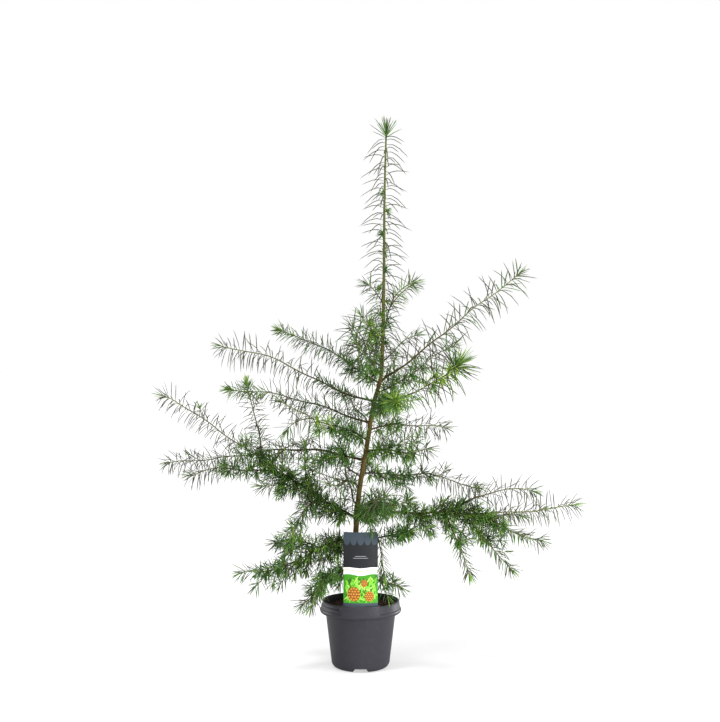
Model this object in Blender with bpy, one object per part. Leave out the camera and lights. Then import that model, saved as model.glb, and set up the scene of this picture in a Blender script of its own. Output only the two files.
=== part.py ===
"""Potted Japanese larch: a young conifer in its nursery pot, built from named sizes.

Metres, +Z up. The origin lies on the flat underside of the pot, on the pot's axis.
+X is the plant's right, +Y its back, and the label stands at the front, toward -Y.
Run it with blender --background --python part.py, or from Blender's text editor.
"""

import math
import random
from collections import namedtuple

import bmesh
import bpy
from mathutils import Matrix, Vector

# Clearance that neighbouring solids keep
GAP = 0.0003

# Pot: outer radii and heights of its wall, rim and foot
POT_HEIGHT = 0.151
POT_WALL = 0.0018
POT_FLOOR = 0.0025
RIM_TOP_RADIUS = 0.0874
RIM_MOUTH_RADIUS = 0.0850
RIM_BEAD_RADIUS = 0.0930
RIM_BEAD_HEIGHT = 0.132
RIM_LIP_RADIUS = 0.0909
RIM_LIP_HEIGHT = 0.1255
RIM_EDGE_RADIUS = 0.0885
RIM_EDGE_HEIGHT = 0.1235
RIM_HOLLOW_HEIGHT = 0.1300
RIM_BEAD_DEPTH = 0.0014
RIM_BEAD_RISE = 0.0050
RIM_CORNER = 0.0010
RIM_CORNER_DROP = 0.0025
WALL_TOP_RADIUS = 0.0794
WALL_TOP_HEIGHT = 0.1186
WALL_SHOULDER = 0.0015
WALL_FOOT_RADIUS = 0.0668
WALL_FOOT_HEIGHT = 0.015
FOOT_RADIUS = 0.0550
POT_SIDES = 32

# Drainage channels across the pot's underside
CHANNELS = 3
CHANNEL_HEIGHT = 0.009
CHANNEL_TOP_WIDTH = 0.025
CHANNEL_FOOT_WIDTH = 0.036
CHANNEL_INNER_RADIUS = 0.020
CHANNEL_WALL = 0.0020

# Label, curved to the rim, and the pocket that it stands in
LABEL_RADIUS = 0.0866
LABEL_THICKNESS = 0.0008
LABEL_HALF_ANGLE = math.radians(26.0)
LABEL_FOOT = 0.1335
LABEL_TOP = 0.318
LABEL_CORNER = 0.004
POCKET_HALF_ANGLE = math.radians(28.5)
POCKET_OUTER_RADIUS = 0.0925
POCKET_TOP = 0.1545
POCKET_FOOT = 0.1290
SLOT_MARGIN = math.radians(0.4)

# Soil that fills the pot
SOIL_LEVEL = 0.138
SOIL_EDGE_LEVEL = 0.134
SOIL_CROWN_RADIUS = 0.030
SOIL_SHOULDER = 0.0080
SOIL_SPREAD = 0.0016

# Trunk: height, x and y of its axis from the soil to the tip of the leader
TRUNK_STATIONS = (
    (0.138, -0.012, 0.002),
    (0.300, -0.011, 0.004),
    (0.400, -0.003, 0.005),
    (0.500, 0.014, 0.000),
    (0.605, 0.031, -0.005),
    (0.655, 0.045, -0.004),
    (0.720, 0.050, 0.000),
    (0.900, 0.0535, 0.003),
    (1.060, 0.0545, -0.001),
    (1.221, 0.0585, 0.001),
)
TRUNK_FOOT_RADIUS = 0.0074
TRUNK_TIP_RADIUS = 0.0019
TRUNK_TAPER = 0.85
FLARE_RADIUS = 0.0045
FLARE_HEIGHT = 0.016
TRUNK_RINGS = 30
TRUNK_SIDES = 10

# Boughs and twigs
BOUGH_SIDES = 6
TWIG_SIDES = 3
TIP_RADIUS = 0.0015
SLIM_RADIUS = 0.0016
THICKENING = 0.0050
FORK_SHARE = 0.75
WALK_STEPS = 48
RING_PITCH = 0.042
WOBBLE = math.radians(5.0)
WOBBLE_LENGTH = 0.13

# Side twigs of the older, lower boughs
OLD_WOOD_HEIGHT = 0.50
TWIG_PITCH = 0.125
TWIG_LENGTH = 0.050
TWIG_SPLAY = (math.radians(38.0), math.radians(58.0))

# Needles: each stands for a few of the plant's own
NEEDLE_PITCH = 0.031
NEEDLE_LENGTH = (0.030, 0.043)
NEEDLE_ROOT_RADIUS = 0.0008
NEEDLE_BEND_AT = 0.5
NEEDLE_RADIUS = 0.0013
NEEDLE_SPLAY = (math.radians(48.0), math.radians(68.0))
LONG_DROOP = 1.0
ROSETTE_DROOP = 0.25
TIP_NEEDLES = 4
TIP_SPREAD = 0.008
TIP_SPLAY = math.radians(24.0)
GOLDEN_ANGLE = math.radians(137.5)

# Leader: foliage that clothes the trunk's topmost shoot, in masses all round it
LEADER_MASSES = 4
LEADER_FOOT = 0.835
LEADER_TOP = 1.205
LEADER_OVERLAP = 0.012
LEADER_STEM_RADIUS = 0.0012
LEADER_STAND_OFF = 0.0022
LEADER_NEEDLE_PITCH = 0.0080
TUFT_HEIGHT = 0.010
TUFT_NEEDLES = 9
TUFT_LENGTH = (0.026, 0.036)
TUFT_SPLAY = (math.radians(14.0), math.radians(60.0))

SEED = 41

# A limb leaves the trunk at a height and a compass bearing, 0 at +X and 90 at the back.
# Its slope runs from the foot's value through the middle's to the tip's, in degrees.
# Foliage starts at the clothed fraction of the reach; the limb is bare wood up to there.
Limb = namedtuple("Limb", "name height compass slopes reach clothed forks")

# A fork leaves its limb at a fraction of the limb's length
Fork = namedtuple("Fork", "at compass slopes reach")

LIMBS = (
    Limb("01_right", 0.215, 318, (-20, 5, -20), 0.130, 0.0, ()),
    Limb("02_left", 0.235, 235, (-5, -10, -55), 0.180, 0.0, (Fork(0.60, 150, (-40, -40, -5), 0.055),)),
    Limb("03_left", 0.285, 205, (5, -30, 10), 0.265, 0.22, (Fork(0.35, 165, (20, 0, -5), 0.110),)),
    Limb("04_right", 0.295, 308, (5, 10, 20), 0.200, 0.0, ()),
    Limb("05_left", 0.335, 195, (30, 35, 35), 0.495, 0.14, (
        Fork(0.18, 225, (5, -50, -60), 0.145),
        Fork(0.28, 100, (80, 55, 50), 0.110),
        Fork(0.36, 215, (-15, -25, 15), 0.085),
        Fork(0.44, 170, (-10, -5, -25), 0.195),
        Fork(0.48, 60, (40, 10, 5), 0.185),
        Fork(0.53, 150, (95, 80, 65), 0.160),
    )),
    Limb("06_right", 0.345, 345, (5, 0, 12), 0.495, 0.14, (
        Fork(0.42, 300, (-50, -55, -50), 0.155),
        Fork(0.45, 20, (35, 10, -10), 0.215),
        Fork(0.50, 330, (-40, -50, -35), 0.165),
        Fork(0.55, 320, (-20, -15, -10), 0.180),
        Fork(0.60, 35, (-25, 10, -20), 0.115),
    )),
    Limb("07_front", 0.355, 284, (0, 20, 15), 0.260, 0.20, (Fork(0.45, 330, (20, 10, 20), 0.100),)),
    Limb("08_back", 0.365, 98, (10, 20, 25), 0.330, 0.20, (Fork(0.50, 140, (10, 5, 15), 0.120),)),
    Limb("09_left", 0.405, 248, (30, -5, 15), 0.190, 0.0, ()),
    Limb("10_left", 0.430, 124, (25, 10, -15), 0.210, 0.0, ()),
    Limb("11_right", 0.440, 15, (-5, 0, -25), 0.250, 0.22, ()),
    Limb("12_back", 0.455, 72, (15, 15, 10), 0.290, 0.20, (Fork(0.50, 30, (5, 0, 5), 0.100),)),
    Limb("13_left", 0.470, 155, (15, -10, -5), 0.535, 0.20, ()),
    Limb("14_right", 0.490, 312, (10, -5, 15), 0.185, 0.0, ()),
    Limb("15_left", 0.515, 215, (25, 15, 35), 0.255, 0.22, (Fork(0.62, 190, (0, -25, -50), 0.070),)),
    Limb("16_right", 0.540, 40, (10, -5, -5), 0.245, 0.22, ()),
    Limb("17_back", 0.545, 106, (20, 15, 15), 0.270, 0.20, ()),
    Limb("18_left", 0.555, 165, (20, 15, 0), 0.345, 0.20, ()),
    Limb("19_front", 0.585, 281, (5, 10, 0), 0.240, 0.0, ()),
    Limb("20_right", 0.605, 325, (5, 20, 40), 0.240, 0.20, ()),
    Limb("21_left", 0.605, 190, (15, 30, 5), 0.365, 0.20, ()),
    Limb("22_right", 0.625, 35, (10, 35, 20), 0.245, 0.20, ()),
    Limb("23_back", 0.635, 78, (20, 15, 25), 0.240, 0.0, ()),
    Limb("24_left", 0.645, 160, (35, 30, 15), 0.250, 0.20, ()),
    Limb("25_right", 0.650, 352, (35, 40, 35), 0.390, 0.20, ()),
    Limb("26_front", 0.665, 250, (20, 25, 20), 0.180, 0.0, ()),
    Limb("27_back", 0.695, 122, (30, 30, 35), 0.160, 0.0, ()),
    Limb("28_right", 0.695, 35, (35, 40, 15), 0.110, 0.0, ()),
    Limb("29_left", 0.725, 235, (55, 30, 45), 0.115, 0.0, ()),
    Limb("30_right", 0.760, 25, (75, 65, 15), 0.155, 0.0, (Fork(0.40, 325, (55, 45, 20), 0.085),)),
    Limb("31_left", 0.830, 150, (40, 55, 35), 0.065, 0.0, ()),
)

# Colours and roughness of the plain materials
FINISHES = {
    "bark": ((0.118, 0.068, 0.032, 1.0), 0.85),
    "old_foliage": ((0.035, 0.110, 0.030, 1.0), 0.65),
    "young_foliage": ((0.105, 0.240, 0.045, 1.0), 0.65),
    "pot_plastic": ((0.070, 0.070, 0.078, 1.0), 0.45),
    "soil": ((0.016, 0.009, 0.006, 1.0), 0.95),
    "label_film": ((0.040, 0.043, 0.050, 1.0), 0.40),
}


def clear_scene():
    """Remove the scene's own objects."""
    for thing in list(bpy.data.objects):
        bpy.data.objects.remove(thing, do_unlink=True)


def make_material(name):
    """A plain Principled material from the table of finishes."""
    colour, roughness = FINISHES[name]
    material = bpy.data.materials.new(name)
    material.use_nodes = True
    shader = material.node_tree.nodes["Principled BSDF"]
    shader.inputs["Base Color"].default_value = colour
    shader.inputs["Roughness"].default_value = roughness
    shader.inputs["Metallic"].default_value = 0.0
    return material


def put_object(name, mesh, material):
    """Link a mesh as a named object, with its material."""
    mesh.materials.clear()
    mesh.materials.append(material)
    thing = bpy.data.objects.new(name, mesh)
    bpy.context.scene.collection.objects.link(thing)
    return thing


def mesh_from(name, corners, faces):
    """A mesh from corners and faces, with all faces turned out."""
    mesh = bpy.data.meshes.new(name)
    form = bmesh.new()
    verts = [form.verts.new(corner) for corner in corners]
    for face in faces:
        form.faces.new([verts[i] for i in face])
    bmesh.ops.recalc_face_normals(form, faces=form.faces)
    form.to_mesh(mesh)
    form.free()
    return mesh


# The way of a limb


class Way:
    """A smooth line through points, read by the fraction of its length."""

    def __init__(self, points):
        self.points = points
        self.length = sum((b - a).length for a, b in zip(points, points[1:]))

    def point(self, fraction):
        """The point at a fraction of the length; the points are evenly spaced."""
        place = min(max(fraction, 0.0), 1.0) * (len(self.points) - 1)
        index = min(int(place), len(self.points) - 2)
        return self.points[index].lerp(self.points[index + 1], place - index)

    def heading(self, fraction):
        """The direction of the line at a fraction of its length."""
        reach = 0.5 / (len(self.points) - 1)
        return (self.point(min(fraction + reach, 1.0)) - self.point(max(fraction - reach, 0.0))).normalized()

    def stretch(self, start, end):
        """Evenly spaced points from one fraction to another, for rings, and their headings."""
        count = max(2, math.ceil((end - start) * self.length / RING_PITCH))
        fractions = [start + (end - start) * i / count for i in range(count + 1)]
        return [self.point(f) for f in fractions], [self.heading(f) for f in fractions]


def three_point(values, fraction):
    """A value that runs straight from the first through the middle one to the last."""
    first, middle, last = values
    if fraction < 0.5:
        return first + (middle - first) * fraction * 2.0
    return middle + (last - middle) * (fraction * 2.0 - 1.0)


def walk(foot, compass, slopes, reach, dice):
    """Walk a limb's way from its foot, winding a little as it goes."""
    rise_phase = dice.uniform(0.0, math.tau)
    turn_phase = dice.uniform(0.0, math.tau)
    points = [foot.copy()]
    step = reach / WALK_STEPS
    for i in range(WALK_STEPS):
        fraction = (i + 0.5) / WALK_STEPS
        wave = math.tau * fraction * reach / WOBBLE_LENGTH
        slope = math.radians(three_point(slopes, fraction)) + WOBBLE * math.sin(wave + rise_phase)
        bearing = math.radians(compass) + WOBBLE * math.sin(wave + turn_phase)
        level = Vector((math.cos(bearing), math.sin(bearing), 0.0))
        points.append(points[-1] + (level * math.cos(slope) + Vector((0.0, 0.0, math.sin(slope)))) * step)
    return Way(points)


def trunk_axis(height):
    """The trunk's axis at a height, on a smooth curve through its stations."""
    stations = TRUNK_STATIONS
    height = min(max(height, stations[0][0]), stations[-1][0])
    last = len(stations) - 2
    index = min(max(i for i in range(last + 1) if stations[i][0] <= height), last)
    z0, z1 = stations[index][0], stations[index + 1][0]
    t = (height - z0) / (z1 - z0)
    values = []
    for axis in (1, 2):
        slopes = []
        for k in (index, index + 1):
            low, high = stations[max(k - 1, 0)], stations[min(k + 1, last + 1)]
            slopes.append((high[axis] - low[axis]) / (high[0] - low[0]) * (z1 - z0))
        a, b = stations[index][axis], stations[index + 1][axis]
        ease = t * t * (3.0 - 2.0 * t)
        start_pull = t * (1.0 - t) ** 2
        end_pull = t * t * (t - 1.0)
        values.append(a + (b - a) * ease + slopes[0] * start_pull + slopes[1] * end_pull)
    return Vector((values[0], values[1], height))


def trunk_radius(height):
    """The trunk's radius at a height, with the root flare at its foot."""
    foot, tip = TRUNK_STATIONS[0][0], TRUNK_STATIONS[-1][0]
    share = min(max((height - foot) / (tip - foot), 0.0), 1.0)
    plain = TRUNK_FOOT_RADIUS + (TRUNK_TIP_RADIUS - TRUNK_FOOT_RADIUS) * share ** TRUNK_TAPER
    return plain + FLARE_RADIUS * math.exp(-(height - foot) / FLARE_HEIGHT)


def limb_radius(reach, fraction):
    """A limb's radius at a fraction of its reach, thicker at the foot of a longer one."""
    foot = SLIM_RADIUS + THICKENING * reach
    return foot + (TIP_RADIUS - foot) * fraction


# Solids along a way


def side_vectors(heading, before=None):
    """Two directions across a heading; the first stays near the one before."""
    if before is None:
        before = Vector((0.0, 0.0, 1.0)) if abs(heading.z) < 0.9 else Vector((1.0, 0.0, 0.0))
    across = (before - heading * before.dot(heading)).normalized()
    return across, heading.cross(across)


def headings_of(points):
    """The direction at each point of a bent line."""
    last = len(points) - 1
    return [(points[min(i + 1, last)] - points[max(i - 1, 0)]).normalized() for i in range(last + 1)]


def tube_mesh(name, points, headings, radii, sides, pointed=False):
    """A tapering tube through points, square to its headings, closed by a flat cap or a point."""
    corners, faces, across = [], [], None
    rings = len(points) - 1 if pointed else len(points)
    for i in range(rings):
        across, over = side_vectors(headings[i], across)
        for k in range(sides):
            angle = math.tau * k / sides
            corners.append(points[i] + (across * math.cos(angle) + over * math.sin(angle)) * radii[i])
    for i in range(rings - 1):
        for k in range(sides):
            low, high = i * sides, (i + 1) * sides
            near, far = k, (k + 1) % sides
            faces.append((low + near, low + far, high + far, high + near))
    faces.append(tuple(range(sides))[::-1])
    top = (rings - 1) * sides
    if pointed:
        corners.append(points[-1])
        for k in range(sides):
            faces.append((top + k, top + (k + 1) % sides, len(corners) - 1))
    else:
        faces.append(tuple(range(top, top + sides)))
    return mesh_from(name, corners, faces)


# Keeping clear of neighbours

Rod = namedtuple("Rod", "a b radius owner")
CELL = 0.03


def segment_distance(p1, q1, p2, q2):
    """The shortest distance between two straight segments."""
    d1, d2, r = q1 - p1, q2 - p2, p1 - p2
    a, e, f = d1.dot(d1), d2.dot(d2), d2.dot(r)
    c, b = d1.dot(r), d1.dot(d2)
    spread = a * e - b * b
    s = min(max((b * f - c * e) / spread, 0.0), 1.0) if spread > 1e-14 else 0.0
    t = (b * s + f) / e
    if t < 0.0:
        t, s = 0.0, min(max(-c / a, 0.0), 1.0)
    elif t > 1.0:
        t, s = 1.0, min(max((b - c) / a, 0.0), 1.0)
    return ((p1 + d1 * s) - (p2 + d2 * t)).length


class Room:
    """The rods already placed, sorted into cells, and who owns each."""

    def __init__(self):
        self.cells = {}

    def cells_of(self, a, b):
        """The cells that a straight rod passes, with their neighbours."""
        count = max(1, math.ceil((b - a).length / (CELL * 0.5)))
        found = set()
        for i in range(count + 1):
            spot = a.lerp(b, i / count)
            x, y, z = (math.floor(value / CELL) for value in spot)
            found.update((x + i, y + j, z + k) for i in (-1, 0, 1) for j in (-1, 0, 1) for k in (-1, 0, 1))
        return found

    def add(self, points, radii, owner):
        """Place the rods between points."""
        for i in range(len(points) - 1):
            rod = Rod(points[i], points[i + 1], max(radii[i], radii[i + 1]), owner)
            for cell in self.cells_of(rod.a, rod.b):
                self.cells.setdefault(cell, []).append(rod)

    def is_free(self, points, radii, owner):
        """True where no rod of another owner is nearer than the gap, nor the pot or label."""
        for i in range(len(points) - 1):
            a, b, radius = points[i], points[i + 1], max(radii[i], radii[i + 1])
            if in_pot_space(a) or in_pot_space(b) or in_pot_space(a.lerp(b, 0.5)):
                return False
            cell = tuple(math.floor(value / CELL) for value in a.lerp(b, 0.5))
            for rod in self.cells.get(cell, ()):
                if rod.owner == owner:
                    continue
                if segment_distance(a, b, rod.a, rod.b) < radius + rod.radius + 2.0 * GAP:
                    return False
        return True


def in_pot_space(point):
    """True inside the room that the pot, the soil and the label take."""
    margin = 0.004
    radius = math.hypot(point.x, point.y)
    if point.z < POCKET_TOP + margin and radius < RIM_BEAD_RADIUS + margin:
        return True
    label_half_width = LABEL_RADIUS * math.sin(LABEL_HALF_ANGLE) + margin
    label_back = LABEL_RADIUS * math.cos(LABEL_HALF_ANGLE) - margin
    in_label_depth = -LABEL_RADIUS - margin < point.y < -label_back
    return point.z < LABEL_TOP + margin and abs(point.x) < label_half_width and in_label_depth


# Pot, soil and label


def turned_mesh(name, outline, sides):
    """A closed ring of revolution, or a solid one where the outline starts and ends on the axis."""
    form = bmesh.new()
    verts = [form.verts.new((radius, 0.0, height)) for radius, height in outline]
    edges = [form.edges.new(pair) for pair in zip(verts, verts[1:])]
    if outline[0][0] > 0.0:
        edges.append(form.edges.new((verts[-1], verts[0])))
    bmesh.ops.spin(
        form, geom=verts + edges, axis=(0, 0, 1), cent=(0, 0, 0),
        angle=math.tau, steps=sides, use_merge=True,
    )
    bmesh.ops.remove_doubles(form, verts=form.verts, dist=1e-6)
    bmesh.ops.recalc_face_normals(form, faces=form.faces)
    mesh = bpy.data.meshes.new(name)
    form.to_mesh(mesh)
    form.free()
    return mesh


def sector_mesh(name, inner, outer, low, high, half_angle, steps):
    """A block bent round the pot's axis, centred on the front."""
    corners, faces = [], []
    for i in range(steps + 1):
        angle = -math.pi / 2.0 - half_angle + 2.0 * half_angle * i / steps
        across = Vector((math.cos(angle), math.sin(angle), 0.0))
        for radius, height in ((inner, low), (outer, low), (outer, high), (inner, high)):
            corners.append(across * radius + Vector((0.0, 0.0, height)))
    for i in range(steps):
        for k in range(4):
            near, far = 4 * i, 4 * (i + 1)
            faces.append((near + k, near + (k + 1) % 4, far + (k + 1) % 4, far + k))
    faces.append((3, 2, 1, 0))
    faces.append(tuple(4 * steps + k for k in range(4)))
    return mesh_from(name, corners, faces)


def channel_mesh(name, grown, inner_radius, outer_radius, low):
    """A drainage channel's straight prism, wider at its foot, along +X, grown by a margin."""
    top = CHANNEL_HEIGHT + grown
    lean = (CHANNEL_FOOT_WIDTH - CHANNEL_TOP_WIDTH) / 2.0 / CHANNEL_HEIGHT
    half_top = CHANNEL_FOOT_WIDTH / 2.0 - lean * top + grown * 1.5
    half_foot = CHANNEL_FOOT_WIDTH / 2.0 - lean * low + grown * 1.5
    section = ((-half_foot, low), (half_foot, low), (half_top, top), (-half_top, top))
    corners = [Vector((x, y, z)) for x in (inner_radius - grown, outer_radius) for y, z in section]
    faces = [(0, 1, 2, 3), (7, 6, 5, 4)]
    faces += [(k, k + 4, (k + 1) % 4 + 4, (k + 1) % 4) for k in range(4)]
    return mesh_from(name, corners, faces)


def fuse(body, helpers, operation):
    """Join or cut a body with a collection of helpers, then remove the helpers.

    A needle that only grazes another leaves an edge of four faces, so it is left out.
    """
    group = bpy.data.collections.new("helpers")
    bpy.context.scene.collection.children.link(group)
    for helper in helpers:
        for home in list(helper.users_collection):
            home.objects.unlink(helper)
        group.objects.link(helper)
    modifier = body.modifiers.new("join", "BOOLEAN")
    modifier.operation = operation
    modifier.solver = "EXACT"
    modifier.operand_type = "COLLECTION"
    modifier.collection = group
    finished = apply_modifiers(body)
    keep_one_body(finished)
    if not is_closed(finished):
        modifier.solver = "MANIFOLD"
        finished = apply_modifiers(body)
        keep_one_body(finished)
    while not is_closed(finished):
        spot = open_edge(finished)
        worst = min(helpers, key=lambda helper: nearest_corner(helper, spot))
        helpers.remove(worst)
        bpy.data.objects.remove(worst, do_unlink=True)
        finished = apply_modifiers(body)
        keep_one_body(finished)
    body.modifiers.clear()
    body.data = finished
    for helper in helpers:
        bpy.data.objects.remove(helper, do_unlink=True)
    bpy.data.collections.remove(group)


def apply_modifiers(body):
    """The body's mesh as its modifiers leave it."""
    bpy.context.view_layer.update()
    graph = bpy.context.evaluated_depsgraph_get()
    return bpy.data.meshes.new_from_object(body.evaluated_get(graph))


def open_edge(mesh):
    """The middle of an edge that doesn't have two faces, or None on a closed mesh."""
    form = bmesh.new()
    form.from_mesh(mesh)
    spot = None
    for edge in form.edges:
        if len(edge.link_faces) != 2:
            spot = (edge.verts[0].co + edge.verts[1].co) / 2.0
    form.free()
    return spot


def is_closed(mesh):
    """True where the mesh has faces and every edge of it has two."""
    return len(mesh.polygons) > 0 and open_edge(mesh) is None


def nearest_corner(thing, spot):
    """How near an object's nearest corner comes to a spot."""
    return min((corner.co - spot).length for corner in thing.data.vertices)


def keep_one_body(mesh):
    """Keep a mesh's largest shell: loose scraps go, and a sealed hollow is filled."""
    form = bmesh.new()
    form.from_mesh(mesh)
    left, shells = set(form.faces), []
    while left:
        shell, edge_of_shell = set(), [left.pop()]
        while edge_of_shell:
            face = edge_of_shell.pop()
            shell.add(face)
            for edge in face.edges:
                for neighbour in edge.link_faces:
                    if neighbour in left:
                        left.remove(neighbour)
                        edge_of_shell.append(neighbour)
        shells.append(shell)
    shells.sort(key=len, reverse=True)
    for shell in shells[1:]:
        bmesh.ops.delete(form, geom=list(shell), context="FACES")
    loose = [vert for vert in form.verts if not vert.link_faces]
    bmesh.ops.delete(form, geom=loose, context="VERTS")
    bmesh.ops.triangulate(form, faces=form.faces)
    form.to_mesh(mesh)
    form.free()


def smooth_round(thing, angle=math.radians(35.0)):
    """Shade a round piece smooth, with its true edges kept sharp."""
    thing.data.shade_smooth()
    thing.data.set_sharp_from_angle(angle=angle)


def channel_tools(name, grown, low, materials):
    """The channels' prisms, set evenly round the axis with one at the front."""
    tools = []
    for k in range(CHANNELS):
        mesh = channel_mesh(name, grown, CHANNEL_INNER_RADIUS, RIM_TOP_RADIUS, low)
        tool = put_object(name, mesh, materials["pot_plastic"])
        mesh.transform(Matrix.Rotation(-math.pi / 2.0 + math.tau * k / CHANNELS, 4, "Z"))
        tools.append(tool)
    return tools


def foot_arc(inset, steps=3):
    """The rounded corner between underside and wall, inset by a thickness."""
    points = []
    for i in range(steps + 1):
        angle = math.pi / 2.0 * i / steps
        radius = FOOT_RADIUS + (WALL_FOOT_RADIUS - FOOT_RADIUS) * math.sin(angle)
        height = WALL_FOOT_HEIGHT * (1.0 - math.cos(angle))
        share = 1.0 - i / steps
        points.append((radius - inset * (1.0 - share), height + inset * share))
    return points


def make_pot(materials):
    """The pot: a turned shell with a folded rim, a label pocket and drainage channels."""
    outside = [(0.0, 0.0)] + foot_arc(0.0) + [
        (WALL_TOP_RADIUS, WALL_TOP_HEIGHT),
        (WALL_TOP_RADIUS + WALL_SHOULDER, RIM_HOLLOW_HEIGHT),
        (RIM_EDGE_RADIUS - POT_WALL, RIM_HOLLOW_HEIGHT),
        (RIM_EDGE_RADIUS, RIM_EDGE_HEIGHT),
        (RIM_LIP_RADIUS, RIM_LIP_HEIGHT),
        (RIM_BEAD_RADIUS, RIM_BEAD_HEIGHT),
        (RIM_BEAD_RADIUS - RIM_BEAD_DEPTH, RIM_BEAD_HEIGHT + RIM_BEAD_RISE),
        (RIM_TOP_RADIUS + RIM_CORNER, POT_HEIGHT - RIM_CORNER_DROP),
        (RIM_TOP_RADIUS, POT_HEIGHT),
        (RIM_MOUTH_RADIUS, POT_HEIGHT),
    ]
    inner_wall = [
        (WALL_TOP_RADIUS - POT_WALL, WALL_TOP_HEIGHT + SOIL_SHOULDER),
        (WALL_TOP_RADIUS - POT_WALL, WALL_TOP_HEIGHT),
    ]
    inside = inner_wall + foot_arc(POT_WALL)[::-1]
    inside[-1] = (FOOT_RADIUS, POT_FLOOR)
    pot = put_object("pot", turned_mesh("pot", outside + inside + [(0.0, POT_FLOOR)], POT_SIDES),
                     materials["pot_plastic"])
    pocket = put_object("pocket", sector_mesh("pocket", RIM_MOUTH_RADIUS + 0.0004, POCKET_OUTER_RADIUS,
                                              POCKET_FOOT, POCKET_TOP, POCKET_HALF_ANGLE, 8),
                        materials["pot_plastic"])
    ridges = channel_tools("ridge", CHANNEL_WALL, POT_FLOOR / 2.0, materials)
    shell_limit = put_object("limit", turned_mesh("limit", soil_outline(-GAP), POT_SIDES),
                             materials["pot_plastic"])
    for ridge in ridges:
        trim = ridge.modifiers.new("trim", "BOOLEAN")
        trim.operation = "INTERSECT"
        trim.solver = "EXACT"
        trim.object = shell_limit
        trimmed = apply_modifiers(ridge)
        ridge.modifiers.clear()
        ridge.data = trimmed
    bpy.data.objects.remove(shell_limit, do_unlink=True)
    fuse(pot, ridges + [pocket], "UNION")
    slot = put_object("slot", sector_mesh("slot", LABEL_RADIUS - GAP, LABEL_RADIUS + LABEL_THICKNESS + GAP,
                                          LABEL_FOOT - GAP, POCKET_TOP + 0.01,
                                          LABEL_HALF_ANGLE + SLOT_MARGIN, 12),
                      materials["pot_plastic"])
    fuse(pot, channel_tools("channel", 0.0, -0.01, materials) + [slot], "DIFFERENCE")
    smooth_round(pot)


def soil_outline(clearance):
    """The soil's section: inside the pot's wall by a clearance, crowned toward the stem."""
    arc = foot_arc(POT_WALL + clearance)
    sides = [(radius, max(height, POT_FLOOR + clearance)) for radius, height in arc]
    sides[0] = (FOOT_RADIUS - 0.001, POT_FLOOR + clearance)
    top_radius = WALL_TOP_RADIUS - POT_WALL - clearance
    return [(0.0, POT_FLOOR + clearance)] + sides + [
        (top_radius, WALL_TOP_HEIGHT),
        (top_radius, WALL_TOP_HEIGHT + SOIL_SHOULDER),
        (top_radius + SOIL_SPREAD, SOIL_EDGE_LEVEL),
        (SOIL_CROWN_RADIUS, SOIL_LEVEL),
        (0.0, SOIL_LEVEL),
    ]


def make_soil(materials):
    """The soil that fills the pot, clear of the channels' ridges."""
    soil = put_object("soil", turned_mesh("soil", soil_outline(GAP * 2.0), POT_SIDES), materials["soil"])
    fuse(soil, channel_tools("ridge_room", CHANNEL_WALL + GAP, 0.0, materials), "DIFFERENCE")
    smooth_round(soil)


def make_label(materials):
    """The label: a thin curved plate with rounded top corners."""
    steps = 10
    corner_steps = 3
    width = 2.0 * LABEL_HALF_ANGLE * LABEL_RADIUS
    edge = [(-width / 2.0, LABEL_FOOT)]
    for side in (-1.0, 1.0):
        for i in range(corner_steps + 1):
            turn = math.pi / 2.0 * (i / corner_steps if side < 0.0 else 1.0 - i / corner_steps)
            across = side * (width / 2.0 - LABEL_CORNER + LABEL_CORNER * math.cos(turn))
            edge.append((across, LABEL_TOP - LABEL_CORNER + LABEL_CORNER * math.sin(turn)))
    edge.append((width / 2.0, LABEL_FOOT))
    columns = sorted({round(x, 6) for x, _ in edge} | {
        round(-width / 2.0 + width * i / steps, 6) for i in range(1, steps)})
    corners, faces = [], []
    for x in columns:
        inset = max(0.0, abs(x) - (width / 2.0 - LABEL_CORNER))
        top = LABEL_TOP - LABEL_CORNER + math.sqrt(max(LABEL_CORNER ** 2 - inset ** 2, 0.0))
        angle = -math.pi / 2.0 + x / LABEL_RADIUS
        across = Vector((math.cos(angle), math.sin(angle), 0.0))
        for radius, height in ((LABEL_RADIUS, LABEL_FOOT), (LABEL_RADIUS + LABEL_THICKNESS, LABEL_FOOT),
                               (LABEL_RADIUS + LABEL_THICKNESS, top), (LABEL_RADIUS, top)):
            corners.append(across * radius + Vector((0.0, 0.0, height)))
    for i in range(len(columns) - 1):
        near, far = 4 * i, 4 * (i + 1)
        for k in range(4):
            faces.append((near + k, near + (k + 1) % 4, far + (k + 1) % 4, far + k))
    faces.append((3, 2, 1, 0))
    faces.append(tuple(4 * (len(columns) - 1) + k for k in range(4)))
    label = put_object("label", mesh_from("label", corners, faces), materials["label_film"])
    smooth_round(label)


# Trunk, boughs and masses


def make_trunk(materials, room):
    """The trunk: level rings from the flat cut at the soil to the leader's tip."""
    foot, tip = TRUNK_STATIONS[0][0] + GAP, TRUNK_STATIONS[-1][0]
    heights = [foot + (tip - foot) * i / TRUNK_RINGS for i in range(TRUNK_RINGS + 1)]
    heights[1:1] = [foot + FLARE_HEIGHT * share for share in (0.25, 0.6, 1.1)]
    corners, faces = [], []
    for height in heights:
        centre, radius = trunk_axis(height), trunk_radius(height)
        for k in range(TRUNK_SIDES):
            angle = math.tau * k / TRUNK_SIDES
            corners.append(centre + Vector((math.cos(angle), math.sin(angle), 0.0)) * radius)
    for i in range(len(heights) - 1):
        for k in range(TRUNK_SIDES):
            low, high = i * TRUNK_SIDES, (i + 1) * TRUNK_SIDES
            far = (k + 1) % TRUNK_SIDES
            faces.append((low + k, low + far, high + far, high + k))
    faces.append(tuple(range(TRUNK_SIDES))[::-1])
    faces.append(tuple((len(heights) - 1) * TRUNK_SIDES + k for k in range(TRUNK_SIDES)))
    trunk = put_object("trunk", mesh_from("trunk", corners, faces), materials["bark"])
    smooth_round(trunk)
    room.add([trunk_axis(h) for h in heights], [trunk_radius(h) for h in heights], "trunk")


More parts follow.
